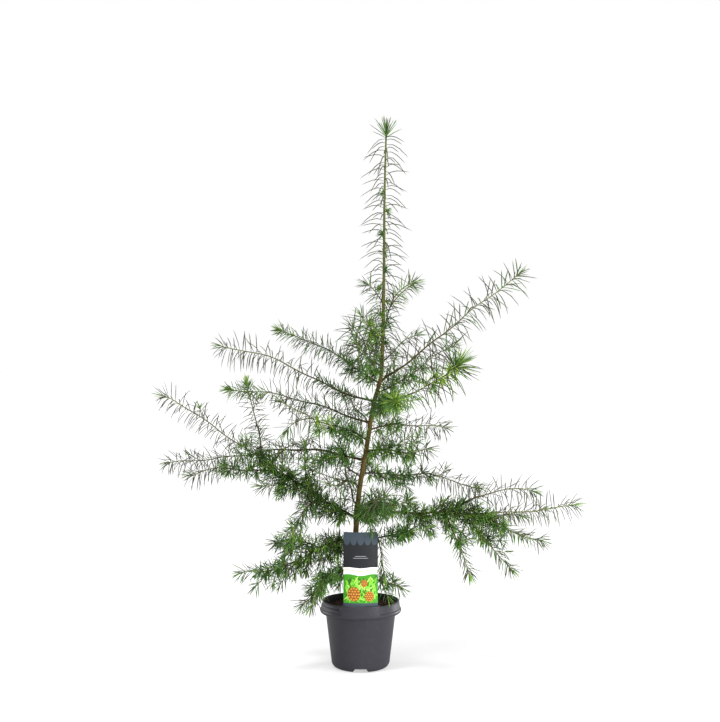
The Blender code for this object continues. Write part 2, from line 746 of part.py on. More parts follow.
def clear_start(way, radius):
    """The fraction of a way at which a limb of this radius stands clear of the trunk."""
    fraction = 0.0
    while fraction < 0.5:
        centre, heading = way.point(fraction), way.heading(fraction)
        across, over = side_vectors(heading)
        nearest = 1.0
        for k in range(12):
            angle = math.tau * k / 12
            rim = centre + (across * math.cos(angle) + over * math.sin(angle)) * radius
            axis = trunk_axis(rim.z)
            nearest = min(nearest, math.hypot(rim.x - axis.x, rim.y - axis.y) - trunk_radius(rim.z))
        if nearest > GAP:
            return fraction
        fraction += 0.0002 / way.length
    return fraction


def turned(heading, splay, roll):
    """A heading splayed from another, rolled round it."""
    across, over = side_vectors(heading)
    outward = across * math.cos(roll) + over * math.sin(roll)
    return (heading * math.cos(splay) + outward * math.sin(splay)).normalized()


def needle_points(root, direction, length, droop):
    """A needle's root and tip, with a bend between them where it arches over toward the ground."""
    fallen = (direction + Vector((0.0, 0.0, -droop))).normalized()
    if droop < LONG_DROOP:
        return [root, root + (direction * 0.7 + fallen * 0.3).normalized() * length]
    bend = root + direction * length * NEEDLE_BEND_AT
    return [root, bend, bend + fallen * length * (1.0 - NEEDLE_BEND_AT)]


class Mass:
    """A mass of foliage: one stem with forks, twigs and needles, fused to one body."""

    def __init__(self, name, material, room):
        self.name = name
        self.material = material
        self.room = room
        self.stems = []
        self.bodies = []

    def add_stem(self, way, start, foot_radius, tip_radius, must_stand=True):
        """A stem or twig along a way; a twig that would touch a neighbour is skipped."""
        if must_stand:
            points, headings = way.stretch(start, 1.0)
        else:
            points = [way.point(0.0), way.point(1.0)]
            headings = headings_of(points)
        last = len(points) - 1
        radii = [foot_radius + (tip_radius - foot_radius) * i / last for i in range(last + 1)]
        if not must_stand and not self.room.is_free(points, radii, self.name):
            return False
        self.room.add(points, radii, self.name)
        self.bodies.append(tube_mesh(self.name, points, headings, radii, TWIG_SIDES))
        self.stems.append((way, start, foot_radius))
        return True

    def add_needle(self, root, direction, length, droop):
        """A three-sided needle, skipped where it would touch a neighbour."""
        points = needle_points(root, direction, length, droop)
        radii = [NEEDLE_ROOT_RADIUS, NEEDLE_RADIUS, 0.0] if len(points) == 3 else [NEEDLE_RADIUS, 0.0]
        if not self.room.is_free(points, radii, self.name):
            return
        self.room.add(points, radii, self.name)
        self.bodies.append(tube_mesh(self.name, points, headings_of(points), radii, TWIG_SIDES, pointed=True))

    def grow_twigs(self, dice):
        """Side twigs, left and right in turn, along each stem."""
        for way, start, radius in list(self.stems):
            count = int(way.length * (1.0 - start) / TWIG_PITCH)
            for k in range(count):
                fraction = start + (0.86 - start) * (k + dice.uniform(0.3, 0.8)) / count
                side = math.radians(90.0 if k % 2 else -90.0)
                roll = side + math.radians(dice.uniform(-40.0, 40.0))
                direction = turned(way.heading(fraction), dice.uniform(*TWIG_SPLAY), roll)
                length = TWIG_LENGTH * dice.uniform(0.6, 1.3) * (1.15 - 0.5 * fraction)
                root = way.point(fraction)
                tip = root + direction * length
                twig = Way([root, root.lerp(tip, 0.5), tip])
                self.add_stem(twig, 0.0, max(radius * 0.6, TIP_RADIUS * 1.2), TIP_RADIUS, must_stand=False)

    def grow_needles(self, dice, droop, pitch=NEEDLE_PITCH):
        """Needles in a spiral along each stem, and a tuft at each tip."""
        for way, start, _ in self.stems:
            count = max(1, int(way.length * (1.0 - start) / pitch))
            roll = dice.uniform(0.0, math.tau)
            for k in range(count):
                fraction = start + (1.0 - start) * (k + 0.6) / (count + 0.4)
                roll += GOLDEN_ANGLE
                direction = turned(way.heading(fraction), dice.uniform(*NEEDLE_SPLAY), roll)
                self.add_needle(way.point(fraction), direction, dice.uniform(*NEEDLE_LENGTH), droop)
            needles = TIP_NEEDLES if way.length > 0.08 else 2
            for k in range(needles):
                roll += math.tau / needles
                root = way.point(1.0 - (0.0015 + TIP_SPREAD * k / needles) / way.length)
                direction = turned(way.heading(1.0), TIP_SPLAY * dice.uniform(0.7, 1.3), roll)
                self.add_needle(root, direction, dice.uniform(*NEEDLE_LENGTH), ROSETTE_DROOP)

    def build(self):
        """Fuse the stem, twigs and needles to one closed body."""
        stem = put_object(self.name, self.bodies[0], self.material)
        helpers = [put_object(self.name + "_piece", mesh, self.material) for mesh in self.bodies[1:]]
        fuse(stem, helpers, "UNION")


def limb_ways(limb, index):
    """The ways of a limb and of its forks, from the limb's own seed."""
    dice = random.Random(SEED + index)
    main = walk(trunk_axis(limb.height), limb.compass, limb.slopes, limb.reach, dice)
    forks = [walk(main.point(fork.at), fork.compass, fork.slopes, fork.reach, dice) for fork in limb.forks]
    return main, forks


def make_limb(limb, index, materials, room):
    """A limb's bare bough, if it has one, and the stem and forks of its mass."""
    main, forks = limb_ways(limb, index)
    start = clear_start(main, limb_radius(limb.reach, 0.0))
    if limb.clothed > 0.0:
        points, headings = main.stretch(start, limb.clothed)
        last = len(points) - 1
        radii = [limb_radius(limb.reach, start + (limb.clothed - start) * i / last) for i in range(last + 1)]
        name = "bough_" + limb.name
        bough = put_object(name, tube_mesh(name, points, headings, radii, BOUGH_SIDES), materials["bark"])
        smooth_round(bough)
        room.add(points, radii, name)
        start = limb.clothed + 1.5 * GAP / main.length
    foliage = "young_foliage" if limb.height > OLD_WOOD_HEIGHT else "old_foliage"
    mass = Mass("foliage_" + limb.name, materials[foliage], room)
    mass.add_stem(main, start, limb_radius(limb.reach, start), TIP_RADIUS)
    for fork, way in zip(limb.forks, forks):
        mass.add_stem(way, 0.0, limb_radius(limb.reach, fork.at) * FORK_SHARE, TIP_RADIUS)
    return mass


def make_leader(materials, room):
    """Masses whose slim stems run up beside the leader, each on its own side, and the top tuft."""
    masses = []
    pitch = (LEADER_TOP - LEADER_FOOT) / LEADER_MASSES
    for k in range(LEADER_MASSES):
        low = LEADER_FOOT + pitch * k
        high = low + pitch - LEADER_OVERLAP
        angle = GOLDEN_ANGLE * k + math.radians(15.0)
        outward = Vector((math.cos(angle), math.sin(angle), 0.0))
        points = []
        for i in range(WALK_STEPS + 1):
            height = low + (high - low) * i / WALK_STEPS
            stand_off = trunk_radius(height) + LEADER_STAND_OFF
            points.append(trunk_axis(height) + outward * stand_off)
        mass = Mass(f"foliage_leader_{k + 1}", materials["young_foliage"], room)
        mass.add_stem(Way(points), 0.0, LEADER_STEM_RADIUS, LEADER_STEM_RADIUS)
        masses.append(mass)
    tip = trunk_axis(TRUNK_STATIONS[-1][0])
    way = Way([tip + Vector((0.0, 0.0, GAP)), tip + Vector((0.0, 0.0, GAP + TUFT_HEIGHT))])
    tuft = Mass("foliage_tip", materials["young_foliage"], room)
    tuft.add_stem(way, 0.0, TRUNK_TIP_RADIUS, TIP_RADIUS)
    return masses, tuft


def grow_tuft(tuft):
    """The fan of needles at the top of the leader."""
    dice = random.Random(SEED + 500)
    way = tuft.stems[0][0]
    for k in range(TUFT_NEEDLES):
        roll = GOLDEN_ANGLE * k
        share = k / TUFT_NEEDLES
        splay = TUFT_SPLAY[1] + (TUFT_SPLAY[0] - TUFT_SPLAY[1]) * share
        root = way.point(0.35 + 0.5 * share)
        direction = turned(Vector((0.0, 0.0, 1.0)), splay, roll)
        tuft.add_needle(root, direction, dice.uniform(*TUFT_LENGTH), ROSETTE_DROOP)


def main():
    """Build the pot with its soil and label, then the trunk, boughs and masses."""
    clear_scene()
    materials = {name: make_material(name) for name in FINISHES}
    make_pot(materials)
    make_soil(materials)
    make_label(materials)
    room = Room()
    make_trunk(materials, room)
    masses = [make_limb(limb, index, materials, room) for index, limb in enumerate(LIMBS)]
    leader, tuft = make_leader(materials, room)
    for index, (limb, mass) in enumerate(zip(LIMBS, masses)):
        if limb.height < OLD_WOOD_HEIGHT:
            mass.grow_twigs(random.Random(SEED + 100 + index))
    for index, (limb, mass) in enumerate(zip(LIMBS, masses)):
        droop = ROSETTE_DROOP if limb.height < OLD_WOOD_HEIGHT else LONG_DROOP
        mass.grow_needles(random.Random(SEED + 200 + index), droop)
    for index, mass in enumerate(leader):
        mass.grow_needles(random.Random(SEED + 300 + index), LONG_DROOP, pitch=LEADER_NEEDLE_PITCH)
    grow_tuft(tuft)
    for mass in masses + leader + [tuft]:
        mass.build()


main()
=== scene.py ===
"""Looks of the potted Japanese larch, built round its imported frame.

Metres, +Z up. +X is the plant's right as the camera sees it, and the camera looks along +Y.
The limbs grow by the same rule and seeds as the frame's solids, carried on to spurs, finer
twigs and single needles.
"""

import logging
import math
import random
from collections.abc import Callable, Iterable, Sequence
from dataclasses import dataclass, field
from enum import Enum

import bmesh
import bpy
import numpy as np
from mathutils import Matrix, Vector, noise


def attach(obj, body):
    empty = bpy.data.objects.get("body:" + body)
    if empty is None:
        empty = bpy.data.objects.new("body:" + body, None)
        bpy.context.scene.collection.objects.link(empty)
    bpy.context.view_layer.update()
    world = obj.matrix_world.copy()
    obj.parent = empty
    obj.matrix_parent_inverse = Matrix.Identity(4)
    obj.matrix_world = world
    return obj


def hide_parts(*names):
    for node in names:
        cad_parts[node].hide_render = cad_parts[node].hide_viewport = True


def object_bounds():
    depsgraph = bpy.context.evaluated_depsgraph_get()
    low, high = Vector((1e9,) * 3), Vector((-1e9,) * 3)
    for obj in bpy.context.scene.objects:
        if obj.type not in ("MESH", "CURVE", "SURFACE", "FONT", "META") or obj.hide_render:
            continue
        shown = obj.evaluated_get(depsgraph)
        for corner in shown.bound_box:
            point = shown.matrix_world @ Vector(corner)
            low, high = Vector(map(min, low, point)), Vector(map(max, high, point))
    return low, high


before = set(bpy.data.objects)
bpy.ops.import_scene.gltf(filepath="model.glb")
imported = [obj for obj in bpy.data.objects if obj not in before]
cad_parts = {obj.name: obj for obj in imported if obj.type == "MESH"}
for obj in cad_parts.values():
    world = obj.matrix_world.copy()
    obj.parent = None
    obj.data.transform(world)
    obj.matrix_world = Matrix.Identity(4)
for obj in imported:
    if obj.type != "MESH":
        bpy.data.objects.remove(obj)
CAD_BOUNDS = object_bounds()

LOG = logging.getLogger("larch")
BODY = "root"
MM = 0.001
GOLDEN_ANGLE = math.radians(137.5)
UP = Vector((0.0, 0.0, 1.0))


# Finishes


def linear(hex_colour: str) -> tuple[float, float, float, float]:
    """Turn an sRGB hex colour to linear red, green, blue and alpha.

    Args:
        hex_colour: six hex digits after a hash mark.

    Returns:
        The four linear values, with alpha 1.
    """
    parts = [int(hex_colour[i:i + 2], 16) / 255.0 for i in (1, 3, 5)]
    values = [p / 12.92 if p <= 0.04045 else ((p + 0.055) / 1.055) ** 2.4 for p in parts]
    return values[0], values[1], values[2], 1.0


def add_node(
    tree: bpy.types.NodeTree,
    kind: str,
    settings: dict | None = None,
    values: dict | None = None,
    links: dict | None = None,
) -> bpy.types.Node:
    """Add a shader node with its settings, input values and links.

    Args:
        tree: the node tree that takes the node.
        kind: the node's Blender type.
        settings: properties of the node by name.
        values: input values by socket name or number.
        links: input links by socket name or number, each a node and the name of its output.

    Returns:
        The new node.
    """
    node = tree.nodes.new(kind)
    for name, value in (settings or {}).items():
        setattr(node, name, value)
    for name, value in (values or {}).items():
        node.inputs[name].default_value = value
    for name, (source, output) in (links or {}).items():
        tree.links.new(source.outputs[output], node.inputs[name])
    return node


def set_ramp(ramp: bpy.types.Node, stops: Sequence[tuple[float, str]]) -> None:
    """Set a colour ramp's stops.

    Args:
        ramp: the Color Ramp node.
        stops: place and sRGB hex colour of each stop, in order.
    """
    elements = ramp.color_ramp.elements
    while len(elements) < len(stops):
        elements.new(1.0)
    for element, (place, colour) in zip(elements, stops):
        element.position = place
        element.color = linear(colour)


@dataclass(frozen=True)
class Finish:
    """What every finish states: its name, record slot, main colour, roughness and IOR."""

    name: str
    slot: str
    colour: str
    roughness: float
    ior: float = 1.45

    def start(self) -> tuple[bpy.types.Material, bpy.types.NodeTree, bpy.types.Node, bpy.types.Node]:
        """Start a Principled material.

        Returns:
            The material, its tree, its shader and a node of object coordinates.
        """
        material = bpy.data.materials.new(self.name)
        material.use_nodes = True
        tree = material.node_tree
        shader = tree.nodes["Principled BSDF"]
        shader.inputs["Base Color"].default_value = linear(self.colour)
        shader.inputs["Roughness"].default_value = self.roughness
        shader.inputs["IOR"].default_value = self.ior
        place = add_node(tree, "ShaderNodeTexCoord")
        return material, tree, shader, place

    def make(self) -> bpy.types.Material:
        """Make the material."""
        return self.start()[0]


@dataclass(frozen=True)
class NeedleSkin(Finish):
    """Larch needle: a soft flat leaf, waxy above, so it gives a broad dull gloss.

    The colour is plain, dealt out by spray; fine streaks along the wax only break the gloss.
    """

    streak_mm: float = 1.2

    def make(self) -> bpy.types.Material:
        """Make the needle's material."""
        material, tree, shader, place = self.start()
        shader.inputs["Specular IOR Level"].default_value = 0.35
        wax = add_node(tree, "ShaderNodeTexNoise",
                       values={"Scale": 1.0 / (self.streak_mm * MM), "Detail": 2.0},
                       links={"Vector": (place, "Object")})
        gloss = add_node(tree, "ShaderNodeMapRange",
                         values={"From Min": 0.3, "From Max": 0.7,
                                 "To Min": self.roughness - 0.1, "To Max": self.roughness + 0.12},
                         links={"Value": (wax, "Fac")})
        tree.links.new(gloss.outputs["Result"], shader.inputs["Roughness"])
        return material


@dataclass(frozen=True)
class StemBark(Finish):
    """Young larch bark on the trunk: rough and scaly below, smooth and green at the leader.

    The colour follows the height, from orange-brown wood to this year's olive shoot, and is
    broken by grey scales about 3 mm across and fine dark cracks.
    """

    scale_mm: float = 3.0
    crack_mm: float = 1.4
    foot: float = 0.13
    tip: float = 1.22

    def make(self) -> bpy.types.Material:
        """Make the trunk's bark."""
        material, tree, shader, place = self.start()
        parts = add_node(tree, "ShaderNodeSeparateXYZ", links={0: (place, "Object")})
        share = add_node(tree, "ShaderNodeMapRange", values={"From Min": self.foot, "From Max": self.tip},
                         links={"Value": (parts, "Z")})
        age = add_node(tree, "ShaderNodeValToRGB", links={"Fac": (share, "Result")})
        set_ramp(age, ((0.0, "#544228"), (0.18, "#5a4a2a"), (0.34, "#564928"), (0.48, "#5b512b"),
                       (0.58, "#5f5c31"), (0.76, "#5f6538"), (1.0, "#68733f")))
        stretched = add_node(tree, "ShaderNodeMapping", values={"Scale": (1.0, 1.0, 0.45)},
                             links={"Vector": (place, "Object")})
        shader.inputs["Specular IOR Level"].default_value = 0.2
        scales = add_node(tree, "ShaderNodeTexVoronoi", settings={"feature": "F1"},
                          values={"Scale": 1.0 / (self.scale_mm * MM)}, links={"Vector": (stretched, "Vector")})
        cracks = add_node(tree, "ShaderNodeTexNoise",
                          values={"Scale": 1.0 / (self.crack_mm * MM), "Detail": 5.0, "Roughness": 0.65},
                          links={"Vector": (stretched, "Vector")})
        patch = add_node(tree, "ShaderNodeMapRange", values={"From Min": 0.45, "From Max": 0.75, "To Max": 0.55},
                         links={"Value": (cracks, "Fac")})
        grey = add_node(tree, "ShaderNodeMix", settings={"data_type": "RGBA"}, values={7: linear("#2b1f14")},
                        links={0: (patch, "Result"), 6: (age, "Color")})
        tree.links.new(grey.outputs[2], shader.inputs["Base Color"])
        height = add_node(tree, "ShaderNodeMath", settings={"operation": "ADD"},
                          links={0: (scales, "Distance"), 1: (cracks, "Fac")})
        bump = add_node(tree, "ShaderNodeBump", values={"Strength": 0.55, "Distance": 0.4 * MM},
                        links={"Height": (height, 0)})
        tree.links.new(bump.outputs["Normal"], shader.inputs["Normal"])
        return material


@dataclass(frozen=True)
class ShootBark(Finish):
    """Bark of boughs and twigs: dark and scaly where old, reddish tan on last year's wood,
    olive on this year's shoots. Each mesh carries its age along the limb from 0 to 1.
    """

    ridge_mm: float = 0.9

    def make(self) -> bpy.types.Material:
        """Make the boughs' bark."""
        material, tree, shader, place = self.start()
        shader.inputs["Specular IOR Level"].default_value = 0.2
        grown = add_node(tree, "ShaderNodeAttribute", settings={"attribute_name": "age"})
        fine = add_node(tree, "ShaderNodeTexNoise",
                        values={"Scale": 1.0 / (self.ridge_mm * MM), "Detail": 4.0, "Roughness": 0.6},
                        links={"Vector": (place, "Object")})
        loose = add_node(tree, "ShaderNodeMapRange",
                         values={"From Min": 0.3, "From Max": 0.7, "To Min": -0.07, "To Max": 0.07},
                         links={"Value": (fine, "Fac")})
        share = add_node(tree, "ShaderNodeMath", settings={"operation": "ADD", "use_clamp": True},
                         links={0: (grown, "Fac"), 1: (loose, "Result")})
        age = add_node(tree, "ShaderNodeValToRGB", links={"Fac": (share, 0)})
        set_ramp(age, ((0.0, "#30291a"), (0.25, "#3c3520"), (0.45, "#4b442a"), (0.62, "#585332"),
                       (0.80, "#5f6436"), (1.0, "#6e7e3e")))
        tree.links.new(age.outputs["Color"], shader.inputs["Base Color"])
        bump = add_node(tree, "ShaderNodeBump", values={"Strength": 0.45, "Distance": 0.25 * MM},
                        links={"Height": (fine, "Fac")})
        tree.links.new(bump.outputs["Normal"], shader.inputs["Normal"])
        return material


@dataclass(frozen=True)
class MouldedPolypropylene(Finish):
    """Recycled polypropylene, injection moulded against a lightly etched tool.

    It gives a soft satin gloss, a faint pebble in the light and a few paler scuffs. Inside,
    above the soil, the wall is painted nearly black: painted shade, and also a wet soil film. The
    etch is 0.1 mm in truth; it is drawn at 0.6 mm, so that it shows.
    """

    etch_mm: float = 0.6
    scuff_mm: float = 14.0
    sheen: float = 0.40

    def make(self) -> bpy.types.Material:
        """Make the pot's plastic."""
        material, tree, shader, place = self.start()
        etch = add_node(tree, "ShaderNodeTexNoise", values={"Scale": 1.0 / (self.etch_mm * MM), "Detail": 2.0},
                        links={"Vector": (place, "Object")})
        scuff = add_node(tree, "ShaderNodeTexNoise",
                         values={"Scale": 1.0 / (self.scuff_mm * MM), "Detail": 6.0, "Roughness": 0.7},
                         links={"Vector": (place, "Object")})
        worn = add_node(tree, "ShaderNodeMapRange", values={"From Min": 0.52, "From Max": 0.78, "To Max": 0.35},
                        links={"Value": (scuff, "Fac")})
        tone = add_node(tree, "ShaderNodeMix", settings={"data_type": "RGBA"},
                        values={6: linear(self.colour), 7: linear("#414145")}, links={0: (worn, "Result")})
        # Painted shade inside the pot: the inner wall above the soil is mixed toward near black. It stands for the
        # shadow there and also for a wet film of soil, and the same mask makes that wall more matt.
        parts = add_node(tree, "ShaderNodeSeparateXYZ", links={0: (place, "Object")})
        flat = add_node(tree, "ShaderNodeCombineXYZ", links={"X": (parts, "X"), "Y": (parts, "Y")})
        reach = add_node(tree, "ShaderNodeVectorMath", settings={"operation": "LENGTH"},
                         links={0: (flat, "Vector")})
        inside = add_node(tree, "ShaderNodeMapRange",
                          values={"From Min": 0.0856, "From Max": 0.0848, "To Max": 0.85},
                          links={"Value": (reach, "Value")})
        above = add_node(tree, "ShaderNodeMapRange", values={"From Min": 0.120, "From Max": 0.126},
                         links={"Value": (parts, "Z")})
        damp_and_painted_shade = add_node(tree, "ShaderNodeMath", settings={"operation": "MULTIPLY"},
                        links={0: (inside, "Result"), 1: (above, "Result")})
        # Mix the painted shade, together with the wet soil film, into the scuffed tone of the inner wall.
        stained_and_shaded = add_node(tree, "ShaderNodeMix", settings={"data_type": "RGBA"}, values={7: linear("#0d0a09")},
                           links={0: (damp_and_painted_shade, 0), 6: (tone, 2)})
        tree.links.new(stained_and_shaded.outputs[2], shader.inputs["Base Color"])
        shader.inputs["Specular IOR Level"].default_value = self.sheen
        gloss = add_node(tree, "ShaderNodeMapRange",
                         values={"From Min": 0.3, "From Max": 0.7,
                                 "To Min": self.roughness - 0.05, "To Max": self.roughness + 0.09},
                         links={"Value": (scuff, "Fac")})
        matt = add_node(tree, "ShaderNodeMath", settings={"operation": "MULTIPLY_ADD", "use_clamp": True},
                        values={1: 0.6}, links={0: (damp_and_painted_shade, 0), 2: (gloss, "Result")})
        tree.links.new(matt.outputs[0], shader.inputs["Roughness"])
        bump = add_node(tree, "ShaderNodeBump", values={"Strength": 0.12, "Distance": 0.08 * MM},
                        links={"Height": (etch, "Fac")})
        tree.links.new(bump.outputs["Normal"], shader.inputs["Normal"])
        return material


@dataclass(frozen=True)
class Peat(Finish):
    """Moist peat compost: nearly black, matt, with rust-brown fibres among the crumbs."""

    crumb_mm: float = 2.5

    def make(self) -> bpy.types.Material:
        """Make the compost."""
        material, tree, shader, place = self.start()
        crumbs = add_node(tree, "ShaderNodeTexNoise",
                          values={"Scale": 1.0 / (self.crumb_mm * MM), "Detail": 6.0, "Roughness": 0.7},
                          links={"Vector": (place, "Object")})
        tone = add_node(tree, "ShaderNodeValToRGB", links={"Fac": (crumbs, "Fac")})
        set_ramp(tone, ((0.35, "#160c09"), (0.55, self.colour), (0.72, "#7a5040")))
        tree.links.new(tone.outputs["Color"], shader.inputs["Base Color"])
        bump = add_node(tree, "ShaderNodeBump", values={"Strength": 0.8, "Distance": 1.0 * MM},
                        links={"Height": (crumbs, "Fac")})
        tree.links.new(bump.outputs["Normal"], shader.inputs["Normal"])
        return material


@dataclass(frozen=True)
class PrintedFilm(Finish):
    """Printed polypropylene label card: one flat ink each, under a thin clear film.

    The film gives a smooth half gloss; the card's faint grain, 0.4 mm, shows only in it.
    """

    grain_mm: float = 0.4

    def make(self) -> bpy.types.Material:
        """Make the ink."""
        material, tree, shader, place = self.start()
        shader.inputs["Specular IOR Level"].default_value = 0.3
        grain = add_node(tree, "ShaderNodeTexNoise", values={"Scale": 1.0 / (self.grain_mm * MM), "Detail": 2.0},
                         links={"Vector": (place, "Object")})
        bump = add_node(tree, "ShaderNodeBump", values={"Strength": 0.05, "Distance": 0.05 * MM},
                        links={"Height": (grain, "Fac")})
        tree.links.new(bump.outputs["Normal"], shader.inputs["Normal"])
        return material


class Tint(Enum):
    """The plain colours of needles, dealt out by spray, from painted shade to newest."""

    # SHADE is painted shade: a darker copy of the needle green, dealt into dense and inner sprays.
    SHADE = "#2b431c"
    OLD = "#41652a"
    LONG = "#3d4228"
    YOUNG = "#5e8030"
    BRIGHT = "#86a240"


BARK = StemBark("larch_bark", "bark", "#6e5230", 0.85)
SHOOT = ShootBark("larch_shoot_bark", "bark", "#5a4022", 0.75)
POT_PLASTIC = MouldedPolypropylene("moulded_polypropylene", "pot_plastic", "#2b2b31", 0.40, 1.49)
PEAT = Peat("moist_peat", "soil", "#382219", 0.95)
CHARCOAL_INK = PrintedFilm("charcoal_ink", "label_film", "#1f2023", 0.42, 1.5)
SLATE_INK = PrintedFilm("slate_ink", "label_film", "#38434b", 0.42, 1.5)
GREY_INK = PrintedFilm("grey_ink", "label_film", "#85888c", 0.42, 1.5)
WHITE_INK = PrintedFilm("white_ink", "label_film", "#f2f2ee", 0.42, 1.5)
ORANGE_INK = PrintedFilm("orange_ink", "label_film", "#c98a35", 0.42, 1.5)
GREEN_INK = PrintedFilm("green_ink", "label_film", "#3c8a1c", 0.42, 1.5)
DEEP_INK = PrintedFilm("deep_green_ink", "label_film", "#2a6019", 0.42, 1.5)
LEAF_INK = PrintedFilm("leaf_ink", "label_film", "#72bd30", 0.42, 1.5)
PALE_INK = PrintedFilm("pale_leaf_ink", "label_film", "#a6d262", 0.42, 1.5)
BERRY_INK = PrintedFilm("berry_ink", "label_film", "#7d4c1c", 0.42, 1.5)


# Ready pieces


def finish_piece(
    name: str,
    mesh: bpy.types.Mesh,
    finish: Finish,
    materials: dict[str, bpy.types.Material],
    nodes: Iterable[str] = (),
) -> bpy.types.Object:
    """Link a mesh as a piece of the object, dressed and riding on its body.

    Args:
        name: the piece's name.
        mesh: its mesh, in the frame's own place.
        finish: its finish; a material is made the first time that it is used.
        materials: the materials made so far, by finish name.
        nodes: the solids that the piece stands for.

    Returns:
        The piece.
    """
    if finish.name not in materials:
        materials[finish.name] = finish.make()
    mesh.materials.clear()
    mesh.materials.append(materials[finish.name])
    piece = bpy.data.objects.new(name, mesh)
    bpy.context.scene.collection.objects.link(piece)
    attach(piece, BODY)
    if nodes:
        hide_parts(*nodes)
    LOG.info("%s: %d triangles", name, sum(len(face.vertices) - 2 for face in mesh.polygons))
    return piece


def mesh_of(name: str, corners: np.ndarray, faces: np.ndarray, smooth: bool = True) -> bpy.types.Mesh:
    """Make a mesh from arrays of corners and of triangles or quads.

    Args:
        name: the mesh's name.
        corners: places, one row each.
        faces: corner numbers, three or four to a row.
        smooth: whether the faces are shaded smooth.

    Returns:
        The mesh.
    """
    mesh = bpy.data.meshes.new(name)
    sides = faces.shape[1]
    mesh.vertices.add(len(corners))
    mesh.vertices.foreach_set("co", np.asarray(corners, np.float32).ravel())
    mesh.loops.add(faces.size)
    mesh.loops.foreach_set("vertex_index", np.asarray(faces, np.int32).ravel())
    mesh.polygons.add(len(faces))
    mesh.polygons.foreach_set("loop_start", np.arange(0, faces.size, sides, dtype=np.int32))
    mesh.polygons.foreach_set("loop_total", np.full(len(faces), sides, np.int32))
    mesh.update(calc_edges=True)
    mesh.polygons.foreach_set("use_smooth", np.full(len(faces), smooth))
    return mesh


@dataclass
class Pile:
    """Many small shapes joined into one mesh, with an age at each corner."""

    corners: list[np.ndarray] = field(default_factory=list)
    faces: list[np.ndarray] = field(default_factory=list)
    ages: list[np.ndarray] = field(default_factory=list)
    count: int = 0

    def add(self, corners: np.ndarray, faces: np.ndarray, ages: np.ndarray | None = None) -> None:
        """Add a shape.

        Args:
            corners: its corners.
            faces: its triangles.
            ages: its age at each corner, or None.
        """
        self.corners.append(corners)
        self.faces.append(faces + self.count)
        self.ages.append(np.zeros(len(corners)) if ages is None else ages)
        self.count += len(corners)

    def mesh(self, name: str, smooth: bool = True) -> bpy.types.Mesh:
        """Make the joined mesh.

        Args:
            name: its name.
            smooth: whether it is shaded smooth.

        Returns:
            The mesh, with its ages as an attribute.
        """
        mesh = mesh_of(name, np.vstack(self.corners), np.vstack(self.faces), smooth)
        age = mesh.attributes.new("age", "FLOAT", "POINT")
        age.data.foreach_set("value", np.concatenate(self.ages).astype(np.float32))
        return mesh


def tube(
    points: Sequence[Vector],
    headings: Sequence[Vector],
    radius_at: Callable[[int, float], float],
    sides: int,
) -> tuple[np.ndarray, np.ndarray]:
    """Make a closed tube through points whose radius may vary round and along it.

    Args:
        points: the middle of each ring.
        headings: the direction of the tube at each ring.
        radius_at: the radius for a ring's number and an angle round it.
        sides: corners in a ring.

    Returns:
        The corners and the triangles.
    """
    corners = []
    across = None
    for i, (point, heading) in enumerate(zip(points, headings)):
        across, over = side_vectors(heading, across)
        for k in range(sides):
            angle = math.tau * k / sides
            corners.append(point + (across * math.cos(angle) + over * math.sin(angle)) * radius_at(i, angle))
    faces = []
    for i in range(len(points) - 1):
        for k in range(sides):
            near, far = i * sides + k, i * sides + (k + 1) % sides
            faces.append((near, far, far + sides))
            faces.append((near, far + sides, near + sides))
    last = (len(points) - 1) * sides
    corners += [points[0], points[-1]]
    for k in range(sides):
        faces.append((len(corners) - 2, (k + 1) % sides, k))
        faces.append((len(corners) - 1, last + k, last + (k + 1) % sides))
    return np.array([tuple(c) for c in corners]), np.array(faces)


# The limbs' rule, as the frame has it

SEED = 41
TRUNK_STATIONS = (
    (0.138, -0.012, 0.002),
    (0.300, -0.011, 0.004),
    (0.400, -0.003, 0.005),
    (0.500, 0.014, 0.000),
    (0.605, 0.031, -0.005),
    (0.655, 0.045, -0.004),
    (0.720, 0.050, 0.000),
    (0.900, 0.0535, 0.003),
    (1.060, 0.0545, -0.001),
    (1.221, 0.0585, 0.001),
)
TRUNK_FOOT_RADIUS = 0.0074
TRUNK_TIP_RADIUS = 0.0019
TRUNK_TAPER = 0.85
FLARE_RADIUS = 0.0045
FLARE_HEIGHT = 0.016
TIP_RADIUS = 0.0015
SLIM_RADIUS = 0.0016
THICKENING = 0.0050
FORK_SHARE = 0.75
WALK_STEPS = 48
WOBBLE = math.radians(5.0)
WOBBLE_LENGTH = 0.13
OLD_WOOD_HEIGHT = 0.50
TWIG_PITCH = 0.125
TWIG_LENGTH = 0.050
TWIG_SPLAY = (math.radians(38.0), math.radians(58.0))


class NeedleKind(Enum):
    """Needles of the older long shoots, of the newest and longest growth, and of the rosettes."""

    LONG = "long"
    ARCHING = "arching"
    ROSETTE = "rosette"


@dataclass(frozen=True)
class Spray:
    """How a stretch of shoot is clothed: single needles, rosettes on spurs, and side twigs.

    A pitch of 0 stands for none. What hangs is drawn toward the ground by that share.
    """

    pitch: float
    length: tuple[float, float]
    splay: tuple[float, float]
    droop: tuple[float, float]
    tints: tuple[Tint, ...]
    kind: NeedleKind = NeedleKind.LONG
    rosette_pitch: float = 0.0
    rosette_tints: tuple[Tint, ...] = ()
    twig_pitch: float = 0.0
    twig_length: tuple[float, float] = (0.025, 0.050)
    hang: float = 0.0


DARK_MIX = (Tint.OLD, Tint.SHADE, Tint.OLD, Tint.LONG)
GREEN_MIX = (Tint.OLD, Tint.YOUNG, Tint.OLD, Tint.YOUNG, Tint.SHADE)
FRESH_MIX = (Tint.YOUNG, Tint.OLD, Tint.BRIGHT, Tint.OLD)


